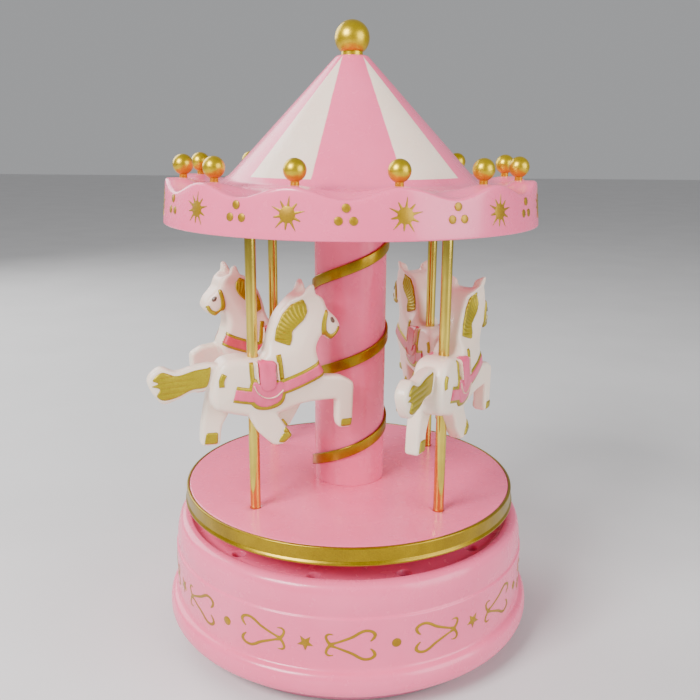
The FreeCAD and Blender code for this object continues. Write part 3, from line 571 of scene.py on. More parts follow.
# %% Platform
platform_low, platform_high = mm_box("platform_trim")
plate_z = platform_high[2]
rim_z = platform_low[2]
hub_foot = 38.1
platform_outline = [
    (2.52, hub_foot, 0.2), (8.0, hub_foot, 0.3), (8.0, plate_z - 2.4, 0.3), (47.5, plate_z - 2.4, 0.5),
    (47.5, rim_z, 0.2), (49.3, rim_z, 0.2), (49.3, plate_z, 0.45), (9.08, plate_z, 0.1),
    (9.08, plate_z + 4.0, 0.4), (7.6, plate_z + 4.0, 0.3), (7.6, plate_z, 0), (2.52, plate_z, 0.1)]
platform_points = divided(rounded(platform_outline, closed=True), 4.0, closed=True)
platform = show("turning_platform", spun(platform_points, 240, closed=True))
pole_ring = 36.8
socket_outline = [(0, plate_z - 1.9), (1.56, plate_z - 1.9), (1.56, plate_z - 0.2), (1.9, plate_z + 0.05),
                  (1.9, plate_z + 1), (0, plate_z + 1)]
punch(platform, socket_outline, pole_ring, 4, math.radians(45), pink_plastic)

band_outline = [
    (49.33, rim_z, 0.1), (50.4, rim_z, 0.25), (50.7, rim_z + 0.5, 0.35), (50.35, rim_z + 1.0, 0.25),
    (50.15, rim_z + 1.25, 0.2), (50.2, plate_z - 0.05, 0.45), (49.33, plate_z - 0.02, 0.15)]
gold_band = show("gold_band", spun(rounded(band_outline, closed=True), 300, closed=True))
gold_band.data.materials.append(trim_gold)
platform_pieces = ((platform, "platform", "pink_plastic"), (gold_band, "platform_trim", "gold_paint"))
for piece, node, slot in platform_pieces:
    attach(piece, "turntable")
    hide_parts(node)
report(gold_band)


# %% [markdown]
# ## The column and its spiral
#
# The column is a plain tube. A raised gold ribbon climbs it three times. A ribbon that follows a path is a
# job for a curve: a spiral curve carries a small rounded section, which a tree sweeps along it.

# %% Column
column_low, column_high = mm_box("column")
column_radius = column_high[0]
column_wall = 1.5
column_outline = [
    (column_radius - column_wall, column_low[2], 0.15), (column_radius, column_low[2], 0.2),
    (column_radius, column_high[2], 0.2), (column_radius - column_wall, column_high[2], 0.15)]
column_points = divided(rounded(column_outline, closed=True), 4.0, closed=True)
column = show("column_tube", spun(column_points, 128, closed=True))
column.data.materials.append(pink_plastic)
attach(column, "turntable")
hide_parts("column")
report(column)

# %% Spiral ribbon
spiral_inputs = [("Turns", "Float"), ("Radius", "Float"), ("Height", "Float"), ("Start Height", "Float"),
                 ("Start Angle", "Float"), ("Ribbon Width", "Float"), ("Ribbon Depth", "Float"),
                 ("Material", "Material")]
spiral_tree, spiral_in, spiral_out = new_tree("ribbon_round_a_column", spiral_inputs)


def spiral_nodes():
    nodes, links = spiral_tree.nodes, spiral_tree.links
    path = nodes.new("GeometryNodeCurveSpiral")
    path.inputs["Resolution"].default_value = 96
    for socket in ("Start Radius", "End Radius"):
        links.new(spiral_in["Radius"], path.inputs[socket])
    links.new(spiral_in["Turns"], path.inputs["Rotations"])
    links.new(spiral_in["Height"], path.inputs["Height"])
    upright = nodes.new("GeometryNodeSetCurveNormal")
    upright.mode = "Z_UP"
    links.new(path.outputs[0], upright.inputs["Curve"])
    section = nodes.new("GeometryNodeCurvePrimitiveQuadrilateral")
    links.new(spiral_in["Ribbon Depth"], section.inputs["Width"])
    links.new(spiral_in["Ribbon Width"], section.inputs["Height"])
    corners = nodes.new("GeometryNodeFilletCurve")
    corners.mode = "POLY"
    corners.inputs["Count"].default_value = 5
    corners.inputs["Radius"].default_value = 0.34 * MM
    links.new(section.outputs[0], corners.inputs["Curve"])
    sweep = nodes.new("GeometryNodeCurveToMesh")
    sweep.inputs["Fill Caps"].default_value = True
    links.new(upright.outputs[0], sweep.inputs["Curve"])
    links.new(corners.outputs[0], sweep.inputs["Profile Curve"])
    lift = nodes.new("ShaderNodeCombineXYZ")
    links.new(spiral_in["Start Height"], lift.inputs["Z"])
    turn = nodes.new("ShaderNodeCombineXYZ")
    links.new(spiral_in["Start Angle"], turn.inputs["Z"])
    # The spiral node winds to the left, and the ribbon on this column to the right. Mirroring turns the
    # faces inside out, so they are flipped back.
    mirror = nodes.new("GeometryNodeTransform")
    mirror.inputs["Scale"].default_value = (1, -1, 1)
    links.new(sweep.outputs[0], mirror.inputs["Geometry"])
    outwards = nodes.new("GeometryNodeFlipFaces")
    links.new(mirror.outputs[0], outwards.inputs["Mesh"])
    place = nodes.new("GeometryNodeTransform")
    links.new(outwards.outputs[0], place.inputs["Geometry"])
    links.new(lift.outputs[0], place.inputs["Translation"])
    links.new(turn.outputs[0], place.inputs["Rotation"])
    finish_tree(spiral_tree, place.outputs[0], spiral_in, spiral_out)


spiral_nodes()
ribbon_depth = 0.8
ribbon_width = 3.2
spiral_rise_per_turn = 27.5
spiral_margin = 2.0
spiral_start_angle = math.radians(147)
spiral_climb = column_high[2] - column_low[2] - 2 * spiral_margin
spiral = bpy.data.objects.new("gold_spiral", bpy.data.meshes.new("gold_spiral"))
bpy.context.scene.collection.objects.link(spiral)
grow(spiral, spiral_tree, {
    "Turns": spiral_climb / spiral_rise_per_turn, "Radius": (column_radius + ribbon_depth / 2) * MM,
    "Height": spiral_climb * MM, "Start Height": (column_low[2] + spiral_margin) * MM,
    "Start Angle": spiral_start_angle, "Ribbon Width": ribbon_width * MM,
    "Ribbon Depth": ribbon_depth * MM, "Material": trim_gold})
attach(spiral, "turntable")
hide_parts("column_spiral")


# %% [markdown]
# ## The canopy
#
# The roof is one moulding too: a flared skirt whose upper edge waves down between the balls, a shallow
# gutter behind it, and the tall cone. It is spun like the base, but the height of the rim follows a cosine
# round the circle. The wave fades out towards the gutter, so that the surface stays one continuous curve.

# %% Canopy
canopy_low, canopy_high = mm_box("canopy")
skirt_low = canopy_low[2]
tip_z = canopy_high[2]
rim_height = skirt_low + 12.4
skirt_foot_radius = 53.5
skirt_top_radius = 52.4
wave_count = 12
wave_depth = 2.9
wave_start = 40.5
wave_full = 51.5


def rim_wave(radius, z, angle):
    """Lowers the outer rim midway between two balls. The front of the box is a low point."""
    share = min(max((radius - wave_start) / (wave_full - wave_start), 0.0), 1.0)
    share = share * share * (3 - 2 * share)
    upper = min(max((z - skirt_low - 2.0) / (rim_height - skirt_low - 2.0), 0.0), 1.0)
    low_point = 0.5 + 0.5 * math.cos(wave_count * (angle - about_front(0)))
    return z - wave_depth * share * upper * low_point


canopy_outline = [
    (0, tip_z, 0), (4.3, tip_z, 0.9), (34.0, rim_height + 1.3, 1.6), (36.4, rim_height - 0.9, 1.4),
    (40.0, rim_height - 1.6, 2.2), (43.6, rim_height - 1.2, 1.6), (46.2, rim_height, 1.8),
    (skirt_top_radius, rim_height, 1.0), (skirt_foot_radius, skirt_low, 0.45),
    (50.9, skirt_low, 0.4), (50.9, rim_height - 4.8, 1.4),
    (48.9, rim_height - 3.0, 1.0), (40.0, rim_height - 3.7, 2.0), (33.0, rim_height - 0.85, 1.2),
    (3.3, tip_z - 5.2, 0.6), (0, tip_z - 5.2, 0)]
canopy_points = divided(rounded(canopy_outline), 1.6)
canopy = show("striped_canopy", spun(canopy_points, 360, closed=False, wave=rim_wave))
canopy.data.materials.append(striped_roof)
post_ring = 30.0
post_foot = mm_box("canopy_ceiling")[1][2] - 4.0
canopy_posts = bosses("canopy_posts", post_foot, rim_height + 0.2, post_ring, 4, 0.0)
for piece in (canopy, canopy_posts):
    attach(piece, "turntable")
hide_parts("canopy")
report(canopy)


# %% [markdown]
# ## Balls on the rim and on the tip
#
# Each rim ball is moulded with a short neck that plugs into the rim. One is turned with a faint parting
# line round its middle, and the ring tree makes twelve of it. The tip ball is larger and sits flat on the
# cone.

# %% Rim balls
ball_radius = 2.85
ball_centre = rim_height + ball_radius + 0.7


def ball_outline(radius, centre, neck_radius, neck_foot):
    """From the top of the ball down to the foot of its neck."""
    points = []
    for step in range(25):
        angle = math.radians(90 - 6.8 * step)
        across = radius * math.cos(angle)
        if across < neck_radius and step > 12:
            break
        proud = parting_line * math.exp(-(angle / 0.035) ** 2)
        points.append(Vector((max(across, 0) + (proud if step else 0), centre + radius * math.sin(angle))))
    points[0].x = 0
    foot = points[-1].y
    points += [Vector((neck_radius, foot - 0.1)), Vector((neck_radius, neck_foot)), Vector((0, neck_foot))]
    return points


parting_line = 0.03
ball_ring = 47.5
one_ball = ball_outline(ball_radius - parting_line, ball_centre, 1.08, rim_height - 1.2)
ball_mesh = spun(one_ball, 36, closed=False)
bmesh.ops.translate(ball_mesh, vec=(ball_ring, 0, 0), verts=ball_mesh.verts)
rim_balls = show("rim_balls_gold", ball_mesh)
grow(rim_balls, ring_tree, {"Count": wave_count, "Start Angle": about_front(15), "Material": ball_gold})

# %% Tip ball
finial_high = mm_box("finial")[1]
tip_radius = finial_high[0]
tip_outline = ball_outline(tip_radius - parting_line, finial_high[2] - tip_radius, 3.0, tip_z - 0.05)
tip_outline[-1:] = [Vector((1.78, tip_z - 0.05)), Vector((1.78, tip_z - 3.8)), Vector((0, tip_z - 3.8))]
tip_ball = show("tip_ball_gold", spun(tip_outline, 64, closed=False))
tip_ball.data.materials.append(ball_gold)
for piece, node in ((rim_balls, "rim_balls"), (tip_ball, "finial")):
    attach(piece, "turntable")
    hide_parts(node)
report(tip_ball)


# %% [markdown]
# ## Brass poles
#
# Each pole is a length of drawn tube with turned-over ends. A plain cylinder would do for the part that
# shows, but the rounded ends are seen where a pole enters its socket.

# %% Poles
def brass_pole(corner):
    low, high = mm_box("pole_" + corner)
    radius = (high[0] - low[0]) / 2
    outline = [(0, low[2], 0), (radius, low[2], 0.3), (radius, high[2], 0.3), (0, high[2], 0)]
    bm = spun(divided(rounded(outline), 3.0), 40, closed=False)
    bmesh.ops.translate(bm, vec=((low[0] + high[0]) / 2, (low[1] + high[1]) / 2, 0), verts=bm.verts)
    pole = show("brass_pole_" + corner, bm)
    pole.data.materials.append(pole_brass)
    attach(pole, "rider_" + corner)
    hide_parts("pole_" + corner)
    return pole


corners = ("front_left", "front_right", "rear_right", "rear_left")
poles = [brass_pole(corner) for corner in corners]
print("poles:", len(poles))


# %% [markdown]
# ## The horses: one figure
#
# All four horses come from one mould: a flat figure about nine millimetres thick, with the legs in two
# layers. A figure like that starts as a few flat slabs cut to outline, each with a rounded rim. A voxel
# remesh then fuses them into one skin, a little smoothing rounds the inner corners as a mould would, and
# the flanks are swelled and the neck thinned towards the crest. The figure is drawn from the side: x
# towards the nose, z up from the saddle's seat.

# %% Smooth outlines
def curve_place(before, start, end, after, t):
    """A place on the smooth curve from start to end. before and after are the points beyond them."""
    return 0.5 * (2 * start + (end - before) * t + (2 * before - 5 * start + 4 * end - after) * t * t
                  + (3 * start - before - 3 * end + after) * t ** 3)


def flowing(points, spans=8):
    """A closed smooth curve through the points."""
    count = len(points)
    result = []
    for index in range(count):
        four = [Vector(points[(index + offset) % count]) for offset in (-1, 0, 1, 2)]
        result += [curve_place(*four, step / spans) for step in range(spans)]
    return result


def open_curve(points, spans):
    """A smooth curve from the first point to the last. Yields (place, span's index, share of the span)."""
    line = [Vector(p) for p in points]
    last = len(line) - 1
    for index in range(last):
        before, after = line[max(index - 1, 0)], line[min(index + 2, last)]
        for step in range(spans + (index == last - 1)):
            t = step / spans
            yield curve_place(before, line[index], line[index + 1], after, t), index, t


def across_line(line, index):
    """The unit vector to the left of a line at one of its places."""
    along = (line[min(index + 1, len(line) - 1)] - line[max(index - 1, 0)]).normalized()
    return Vector((-along.y, along.x))


def cut_out(points, rounding=0.7):
    """A closed outline of straight runs with rounded corners."""
    return divided(rounded([(x, z, rounding) for x, z in points], closed=True, steps=4), 1.0, closed=True)


def counter_clockwise(outline):
    area = sum(a.x * b.y - b.x * a.y for a, b in zip(outline, outline[1:] + outline[:1]))
    return outline if area > 0 else outline[::-1]


# %% A slab with rounded rims
def add_slab(bm, outline, low_y, high_y, rim):
    """Adds a closed slab to the mesh. The rim is rounded on both faces."""
    outline = counter_clockwise(outline)
    count = len(outline)
    inward = []
    for index in range(count):
        along = (outline[(index + 1) % count] - outline[index - 1]).normalized()
        inward.append(Vector((-along.y, along.x)))
    profile = []
    for step in range(6):
        angle = math.pi / 2 * step / 5
        profile.append((rim * (1 - math.sin(angle)), low_y + rim * (1 - math.cos(angle))))
    profile += [(inset, high_y + low_y - y) for inset, y in reversed(profile)]
    rings = []
    for inset, y in profile:
        ring = [bm.verts.new((p.x + n.x * inset, y, p.y + n.y * inset)) for p, n in zip(outline, inward)]
        rings.append(ring)
    for lower, upper in zip(rings, rings[1:]):
        for index in range(count):
            after = (index + 1) % count
            bm.faces.new((lower[index], lower[after], upper[after], upper[index]))
    bm.faces.new(rings[0])
    bm.faces.new(rings[-1])


# %% The figure's outlines
half_thick = 4.65
body_outline = flowing([
    (-9.4, -1.0), (-5.0, 0.9), (0.5, 0.8), (2.9, 2.6), (3.6, 7.5), (5.2, 13.2), (9.0, 17.9),
    (13.4, 19.2), (17.0, 18.6), (18.9, 15.6), (22.2, 12.8), (23.3, 10.0), (20.9, 7.0), (18.2, 8.2),
    (16.9, 4.6), (18.2, 0.6), (20.2, -4.0), (16.0, -10.2), (8.5, -14.2), (2.5, -15.4),
    (-5.0, -14.6), (-10.2, -13.0), (-11.4, -7.5)])
tail_outline = flowing([
    (-8.0, -2.2), (-12.0, -1.2), (-16.4, -2.2), (-20.8, -3.6), (-25.0, -2.6), (-28.0, -6.4),
    (-24.2, -12.2), (-20.2, -11.4), (-16.6, -9.4), (-12.0, -8.2)])
raised_foreleg = [(15.0, -3.2), (25.2, -3.2), (29.0, -4.8), (29.9, -16.4), (29.6, -18.2), (25.9, -18.4),
                  (25.2, -16.4), (24.4, -9.8), (17.0, -10.6), (11.0, -12.0)]
forward_hind = [(-2.0, -13.0), (6.5, -13.0), (9.6, -17.2), (12.6, -20.4), (10.2, -23.0), (7.2, -23.4),
                (2.4, -19.6)]
tucked_foreleg = [(11.0, -10.0), (17.0, -8.4), (15.6, -13.4), (12.8, -19.6), (9.2, -20.0), (8.6, -16.8)]
rear_hind = [(-11.2, -6.5), (-3.4, -12.0), (-6.6, -19.4), (-6.6, -24.9), (-11.9, -25.2), (-12.2, -19.0),
             (-11.6, -12.6)]
ear = [(10.2, 16.2), (15.0, 17.0), (13.6, 21.2), (12.3, 21.2)]


# %% Distance from many places to an outline
def outline_distance(places, outline):
    """For each (x, z) place: its distance to a closed outline, whether it is inside, and the nearest place
    on the outline."""
    places = np.asarray(places, float)
    ends = np.array([(p[0], p[1]) for p in outline])
    best = np.full(len(places), 1e9)
    nearest = np.zeros_like(places)
    inside = np.zeros(len(places), bool)
    for start, end in zip(ends, np.roll(ends, -1, axis=0)):
        run = end - start
        length = max(float(run @ run), 1e-12)
        share = np.clip(((places - start) @ run) / length, 0, 1)
        foot = start + share[:, None] * run
        distance = np.hypot(*(places - foot).T)
        closer = distance < best
        best[closer] = distance[closer]
        nearest[closer] = foot[closer]
        if start[1] != end[1]:
            spans = (start[1] > places[:, 1]) != (end[1] > places[:, 1])
            crossing = start[0] + (places[:, 1] - start[1]) * run[0] / run[1]
            inside ^= spans & (places[:, 0] < crossing)
    return best, inside, nearest


def ease(values, low, high):
    """0 below low, 1 above high, and a smooth step between."""
    share = np.clip((values - low) / (high - low), 0, 1)
    return share * share * (3 - 2 * share)


# %% Fuse and sculpt the figure
def horse_figure():
    bm = bmesh.new()
    add_slab(bm, body_outline, -half_thick, half_thick, 1.8)
    for outline, side in ((raised_foreleg, -1), (forward_hind, -1), (tucked_foreleg, 1), (rear_hind, 1)):
        low_y, high_y = sorted((side * half_thick, side * 0.65))
        add_slab(bm, cut_out(outline, 1.1), low_y, high_y, 0.8)
    for side in (-1, 1):
        low_y, high_y = sorted((side * (half_thick - 0.1), side * (half_thick - 2.6)))
        add_slab(bm, cut_out(ear, 0.5), low_y, high_y, 0.6)
    add_slab(bm, tail_outline, -1.8, 1.8, 0.9)
    figure = show("figure", bm)
    fuse = figure.modifiers.new("fuse", "REMESH")
    fuse.mode = "VOXEL"
    fuse.voxel_size = 0.3 * MM
    soften = figure.modifiers.new("soften", "SMOOTH")
    soften.factor = 0.5
    soften.iterations = 5
    bpy.context.view_layer.update()
    graph = bpy.context.evaluated_depsgraph_get()
    mesh = bpy.data.meshes.new_from_object(figure.evaluated_get(graph))
    bpy.data.objects.remove(figure)
    return mesh


def sculpt(mesh):
    """Swells the flanks, thins the neck towards its crest and the muzzle, and spreads the ears."""
    count = len(mesh.vertices)
    places = np.zeros(count * 3)
    mesh.vertices.foreach_get("co", places)
    places = places.reshape(-1, 3) / MM
    depth, inside = outline_distance(places[:, [0, 2]], body_outline)[:2]
    depth = np.where(inside, depth, 0)
    trunk = ease(-places[:, 2], -16, 2)
    swell = 0.10 * ease(depth, 0.5, 6.5) * trunk
    crest_x = 3.0 + 0.42 * places[:, 2]
    neck = ease(places[:, 2], 1.5, 6.0) * (1 - ease(places[:, 2], 16.0, 19.0))
    thinning = 0.34 * neck * (1 - ease(places[:, 0] - crest_x, -1.0, 7.5))
    muzzle = 0.16 * ease(places[:, 0], 18.5, 23.0) * ease(places[:, 2], 4.0, 7.0)
    flare = 0.24 * ease(places[:, 2], 16.0, 21.0) * (1 - ease(places[:, 0], 14.5, 18.0))
    places[:, 1] *= 1 + swell + flare - thinning - muzzle
    poll = ease(places[:, 2], 14.5, 18.0) * (1 - ease(np.abs(places[:, 0] - 13.0), 1.5, 4.5))
    places[:, 2] += poll * (1.3 * (np.abs(places[:, 1]) / half_thick) ** 2 - 0.5)
    mesh.vertices.foreach_set("co", (places * MM).ravel())
    mesh.update()


figure_mesh = horse_figure()
sculpt(figure_mesh)
figure_mesh.polygons.foreach_set("use_smooth", [True] * len(figure_mesh.polygons))
print("horse figure:", len(figure_mesh.polygons), "faces")


# %% [markdown]
# ## The horses: painted relief
#
# On the mould, the mane, the bridle, the saddle and the straps stand a hair above the body, and are painted
# by mask. Each is a thin plate that follows the skin under it. It is made as a fine grid clipped to the
# outline: every grid point looks for the skin straight in from the side, rises a little above it inside the
# outline, and sinks into it at the border. Hair is cut into the mane and tail as real grooves.

# %% Find the skin from either side
figure_bm = bmesh.new()
figure_bm.from_mesh(figure_mesh)
skin = BVHTree.FromBMesh(figure_bm)
figure_bm.free()


def skin_y(x, z, side):
    """How far out the skin lies at a place, in millimetres, seen from one side. None where there is none."""
    hit = skin.ray_cast(Vector((x * MM, side * 0.02, z * MM)), Vector((0, -side, 0)))[0]
    return None if hit is None else hit.y / MM


# %% One relief plate
def add_relief(bm, outline, side, rise, spacing=0.3, border=0.4, groove=None, sink=0.3):
    """Adds a closed plate over the skin. groove(x, z) is taken off its height."""
    outline = counter_clockwise(outline)
    low_x, high_x = min(p[0] for p in outline), max(p[0] for p in outline)
    low_z, high_z = min(p[1] for p in outline), max(p[1] for p in outline)
    columns = math.ceil((high_x - low_x) / spacing) + 1
    rows = math.ceil((high_z - low_z) / spacing) + 1
    grid = [(low_x + i * spacing, low_z + j * spacing) for j in range(rows + 1) for i in range(columns + 1)]
    centres = [(x + spacing / 2, z + spacing / 2) for x, z in grid]
    kept = outline_distance(centres, outline)[1]
    cells = []
    for j in range(rows):
        for i in range(columns):
            if kept[j * (columns + 1) + i]:
                first = j * (columns + 1) + i
                cells.append((first, first + 1, first + columns + 2, first + columns + 1))
    uses = {}
    for cell in cells:
        for corner in cell:
            uses[corner] = uses.get(corner, 0) + 1
    places = np.array([grid[corner] for corner in uses])
    depth, inside, nearest = outline_distance(places, outline)
    top, bottom = {}, {}
    for row, (corner, count) in enumerate(uses.items()):
        at_border = count < 4
        x, z = nearest[row] if at_border else places[row]
        surface = skin_y(x, z, side)
        if surface is None:
            continue
        depth_in = 0.0 if at_border else min(depth[row] / border, 1.0)
        height = 0.03 + (rise - 0.03) * math.sqrt(max(0.0, 1 - (1 - depth_in) ** 2))
        if groove and depth_in > 0:
            height -= groove(x, z) * depth_in
        top[corner] = bm.verts.new((x, surface + side * height, z))
        bottom[corner] = bm.verts.new((x, surface - side * sink, z))
    edges = {}
    for cell in cells:
        if not all(corner in top for corner in cell):
            continue
        bm.faces.new([top[corner] for corner in cell])
        bm.faces.new([bottom[corner] for corner in reversed(cell)])
        for a, b in zip(cell, cell[1:] + cell[:1]):
            key = (min(a, b), max(a, b))
            edges[key] = None if key in edges else (a, b)
    for pair in edges.values():
        if pair:
            a, b = pair
            bm.faces.new((top[b], top[a], bottom[a], bottom[b]))


def strap(points, width):
    """The outline of a band of even width along a smooth line."""
    fine = [place for place, index, share in open_curve(points, 6)]
    left, right = [], []
    for index, point in enumerate(fine):
        reach = across_line(fine, index) * width / 2
        left.append(point + reach)
        right.append(point - reach)
    return left + right[::-1]


# %% Where the painted relief lies
mane = [(4.7, 6.0), (4.9, 9.4), (6.2, 13.4), (8.4, 16.2), (11.3, 18.1), (12.6, 16.3), (13.0, 14.6),
        (12.2, 12.4), (10.6, 10.6), (9.2, 8.9), (9.4, 7.0), (8.9, 5.0), (7.0, 5.4)]
bridle = flowing([(17.8, 15.2), (17.2, 12.0), (17.5, 9.0), (19.0, 7.6), (21.0, 7.1), (22.8, 8.6),
                  (23.3, 10.4), (22.3, 10.9), (21.6, 9.4), (20.2, 8.8), (18.9, 9.9), (18.6, 12.4),
                  (18.8, 15.0)], 6)
tail_patch = flowing([(-11.7, -2.2), (-13.0, -2.3), (-16.2, -3.0), (-20.6, -4.5), (-24.6, -3.7),
                      (-26.8, -5.9), (-25.3, -6.7), (-26.9, -7.6), (-24.8, -8.2), (-25.4, -10.2),
                      (-23.6, -11.3), (-20.2, -10.5), (-16.4, -8.4), (-13.4, -7.8), (-12.1, -6.8)], 6)
flap = flowing([(0.4, 0.7), (2.6, 0.9), (5.0, 0.6), (5.4, -2.2), (5.9, -5.4), (5.1, -7.0), (3.4, -7.6),
                (1.9, -7.2), (1.0, -5.6), (0.6, -2.2)], 6)
saddle_cloth = flowing([(-0.6, -4.8), (3.0, -6.0), (7.2, -4.4), (8.0, -6.8), (7.6, -10.0), (4.6, -11.9),
                        (1.2, -11.8), (-0.8, -9.2)], 6)
cloth_edge = flowing([(-1.0, -4.2), (3.0, -5.4), (7.8, -3.8), (8.8, -6.8), (8.3, -10.9), (4.8, -12.8),
                      (0.8, -12.6), (-1.5, -9.6)], 6)
breast_line = [(5.6, -7.0), (9.2, -5.8), (13.6, -3.8), (17.6, -1.6), (20.6, 0.8)]
belly_line = [(4.0, -9.4), (0.5, -9.2), (-3.0, -8.9), (-5.4, -8.6)]
rear_piping_line = [(-1.6, 0.2), (-1.3, -2.4), (-0.8, -5.2)]
front_piping_line = [(5.7, 2.6), (6.5, -0.6), (7.2, -4.0)]
left_piping_line = [(-0.1, 0.5), (0.2, -2.2), (0.8, -5.4)]
right_piping_line = [(5.5, 0.5), (6.0, -2.4), (6.5, -4.6)]
crescent_line = [(-0.6, -5.8), (0.8, -8.0), (3.2, -9.3), (5.8, -8.9), (8.0, -6.8)]
haunch_line = [(-8.6, -3.2), (-9.2, -5.0), (-9.0, -6.8)]
eye_mark = flowing([(19.6, 13.3), (20.5, 13.4), (21.2, 12.5), (20.9, 11.9), (20.0, 12.2)], 5)
hooves = [
    [(26.2, -15.6), (29.7, -15.3), (29.5, -17.6), (26.3, -17.9)],
    [(8.9, -20.3), (10.7, -18.7), (12.2, -20.3), (10.1, -22.5), (8.2, -22.3)],
    [(9.3, -18.7), (10.6, -16.9), (12.6, -19.2), (9.5, -19.6)],
    [(-10.9, -21.2), (-7.6, -21.0), (-7.4, -24.4), (-11.2, -24.6)]]


def mane_hair(x, z):
    """Locks that fan out from the middle of the neck towards the crest."""
    angle = math.atan2(z - 7.5, 14.5 - x)
    reach = math.hypot(z - 7.5, 14.5 - x)
    wave = math.sin(angle * 46 + 0.9 * math.sin(reach * 1.1))
    return 0.26 * max(0.0, wave) ** 1.5 * min(max((reach - 4.5) / 3.0, 0.15), 1.0)


def tail_hair(x, z):
    """Long locks that follow the tail and part towards its end."""
    middle = -4.6 + 0.2 * (x + 11.0)
    along = ease(-x, 13.0, 20.0)
    return 0.2 * along * max(0.0, math.sin((z - middle) * 4.2 + 0.5 * math.sin(x * 0.6))) ** 1.5


# %% Collect the plates of each colour
def relief_mesh(name, plates):
    """plates are (outline, rise, spacing, groove). Both flanks get every plate."""
    bm = bmesh.new()
    for side in (-1, 1):
        for outline, rise, spacing, groove in plates:
            add_relief(bm, outline, side, rise, spacing, groove=groove)
    bmesh.ops.recalc_face_normals(bm, faces=bm.faces)
    bmesh.ops.scale(bm, vec=(MM, MM, MM), verts=bm.verts)
    mesh = bpy.data.meshes.new(name)
    bm.to_mesh(mesh)
    bm.free()
    mesh.polygons.foreach_set("use_smooth", [True] * len(mesh.polygons))
    mesh.set_sharp_from_angle(angle=math.radians(50))
    print(name, len(mesh.polygons), "faces")
    return mesh


gold_bands = ((rear_piping_line, 1.3), (front_piping_line, 1.5), (haunch_line, 1.5), (breast_line, 4.4),
              (belly_line, 4.6))
gold_plates = [(cut_out(mane, 0.6), 0.42, 0.22, mane_hair), (tail_patch, 0.34, 0.26, tail_hair),
               (bridle, 0.34, 0.24, None)]
gold_plates += [(strap(line, width), 0.30, 0.24, None) for line, width in gold_bands]
gold_plates += [(cut_out(hoof, 0.6), 0.3, 0.26, None) for hoof in hooves]
gold_plates.append((cloth_edge, 0.34, 0.3, None))
saddle_plates = [(strap(breast_line, 3.1), 0.46, 0.26, None), (strap(belly_line, 3.3), 0.46, 0.26, None),
                 (saddle_cloth, 0.54, 0.28, None), (flap, 0.80, 0.26, None)]
piping_plates = [(strap(line, 0.62), 0.95, 0.2, None)
                 for line in (left_piping_line, right_piping_line, crescent_line)]
gold_relief = relief_mesh("gold_relief", gold_plates)
saddle_relief = relief_mesh("saddle_relief", saddle_plates)
piping_relief = relief_mesh("piping_relief", piping_plates)
eye_relief = relief_mesh("eye_relief", [(eye_mark, 0.25, 0.16, None)])


# %% [markdown]
# ## Four horses on their poles
#
# The same meshes are copied four times. Each copy is tipped nose-down, turned to its own heading and
# carried to its pole, and the place is written into the mesh, so that its object stays at the origin.

# %% Place the horses
nose_down = math.radians(6.5)
# heading of the nose in degrees, height of the saddle above the platform, saddle paint
horses = {"front_left": (23.0, 43.5, pink_saddle), "front_right": (63.5, 44.5, pink_saddle),
          "rear_right": (110.0, 41.0, red_saddle), "rear_left": (209.0, 42.5, red_saddle)}


def placed(mesh, name, material, corner):
    """A copy of one of the horse's meshes, at its pole, riding with it."""
    heading, lift = horses[corner][:2]
    low, high = mm_box("pole_" + corner)
    stand = Vector(((low[0] + high[0]) / 2, (low[1] + high[1]) / 2, plate_z + lift)) * MM
    turn = Matrix.Rotation(math.radians(heading), 4, "Z") @ Matrix.Rotation(nose_down, 4, "Y")
    copy = mesh.copy()
    copy.name = name
    copy.transform(Matrix.Translation(stand) @ turn)
    copy.materials.clear()
    copy.materials.append(material)
    piece = bpy.data.objects.new(name, copy)
    bpy.context.scene.collection.objects.link(piece)
    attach(piece, "rider_" + corner)
    return piece


for corner in corners:
    saddle = horses[corner][2]
    figure = placed(figure_mesh, "horse_figure_" + corner, ivory_plastic, corner)
    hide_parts("horse_" + corner)
    placed(gold_relief, "horse_gold_" + corner, mane_gold, corner)
    placed(saddle_relief, "horse_saddle_" + corner, saddle, corner)
    placed(piping_relief, "horse_piping_" + corner, cream_piping, corner)
    placed(eye_relief, "horse_eyes_" + corner, eye_brown, corner)
    report(figure)


# %% [markdown]
# ## Printed motifs
#
# The base band and the skirt carry gold prints. A print has almost no thickness, but a thin raised skin of
# paint catches light at its edge and stays in the exported mesh, so each motif is drawn flat, as small
# closed plates, and bent round the wall. The ring tree then repeats it.

# %% Draw flat motifs and bend them
def add_plate(bm, outline, height, wall):
    """A flat closed plate laid on a wall. wall(along, up, out) gives the place of an outline's point."""
    outline = counter_clockwise([Vector(p) for p in outline])
    count = len(outline)
    middle = sum(outline, Vector((0, 0))) / count
    rings = []
    for share, out in ((1.0, -0.15), (1.0, height * 0.5), (0.93, height)):
        rings.append([bm.verts.new(wall(*(middle + (p - middle) * share), out)) for p in outline])
    for lower, upper in zip(rings, rings[1:]):
        for index in range(count):
            after = (index + 1) % count
            bm.faces.new((lower[index], lower[after], upper[after], upper[index]))
    hubs = [bm.verts.new(wall(*middle, out)) for out in (-0.15, height)]
    for index in range(count):
        after = (index + 1) % count
        bm.faces.new((rings[-1][index], rings[-1][after], hubs[1]))
        bm.faces.new((rings[0][after], rings[0][index], hubs[0]))


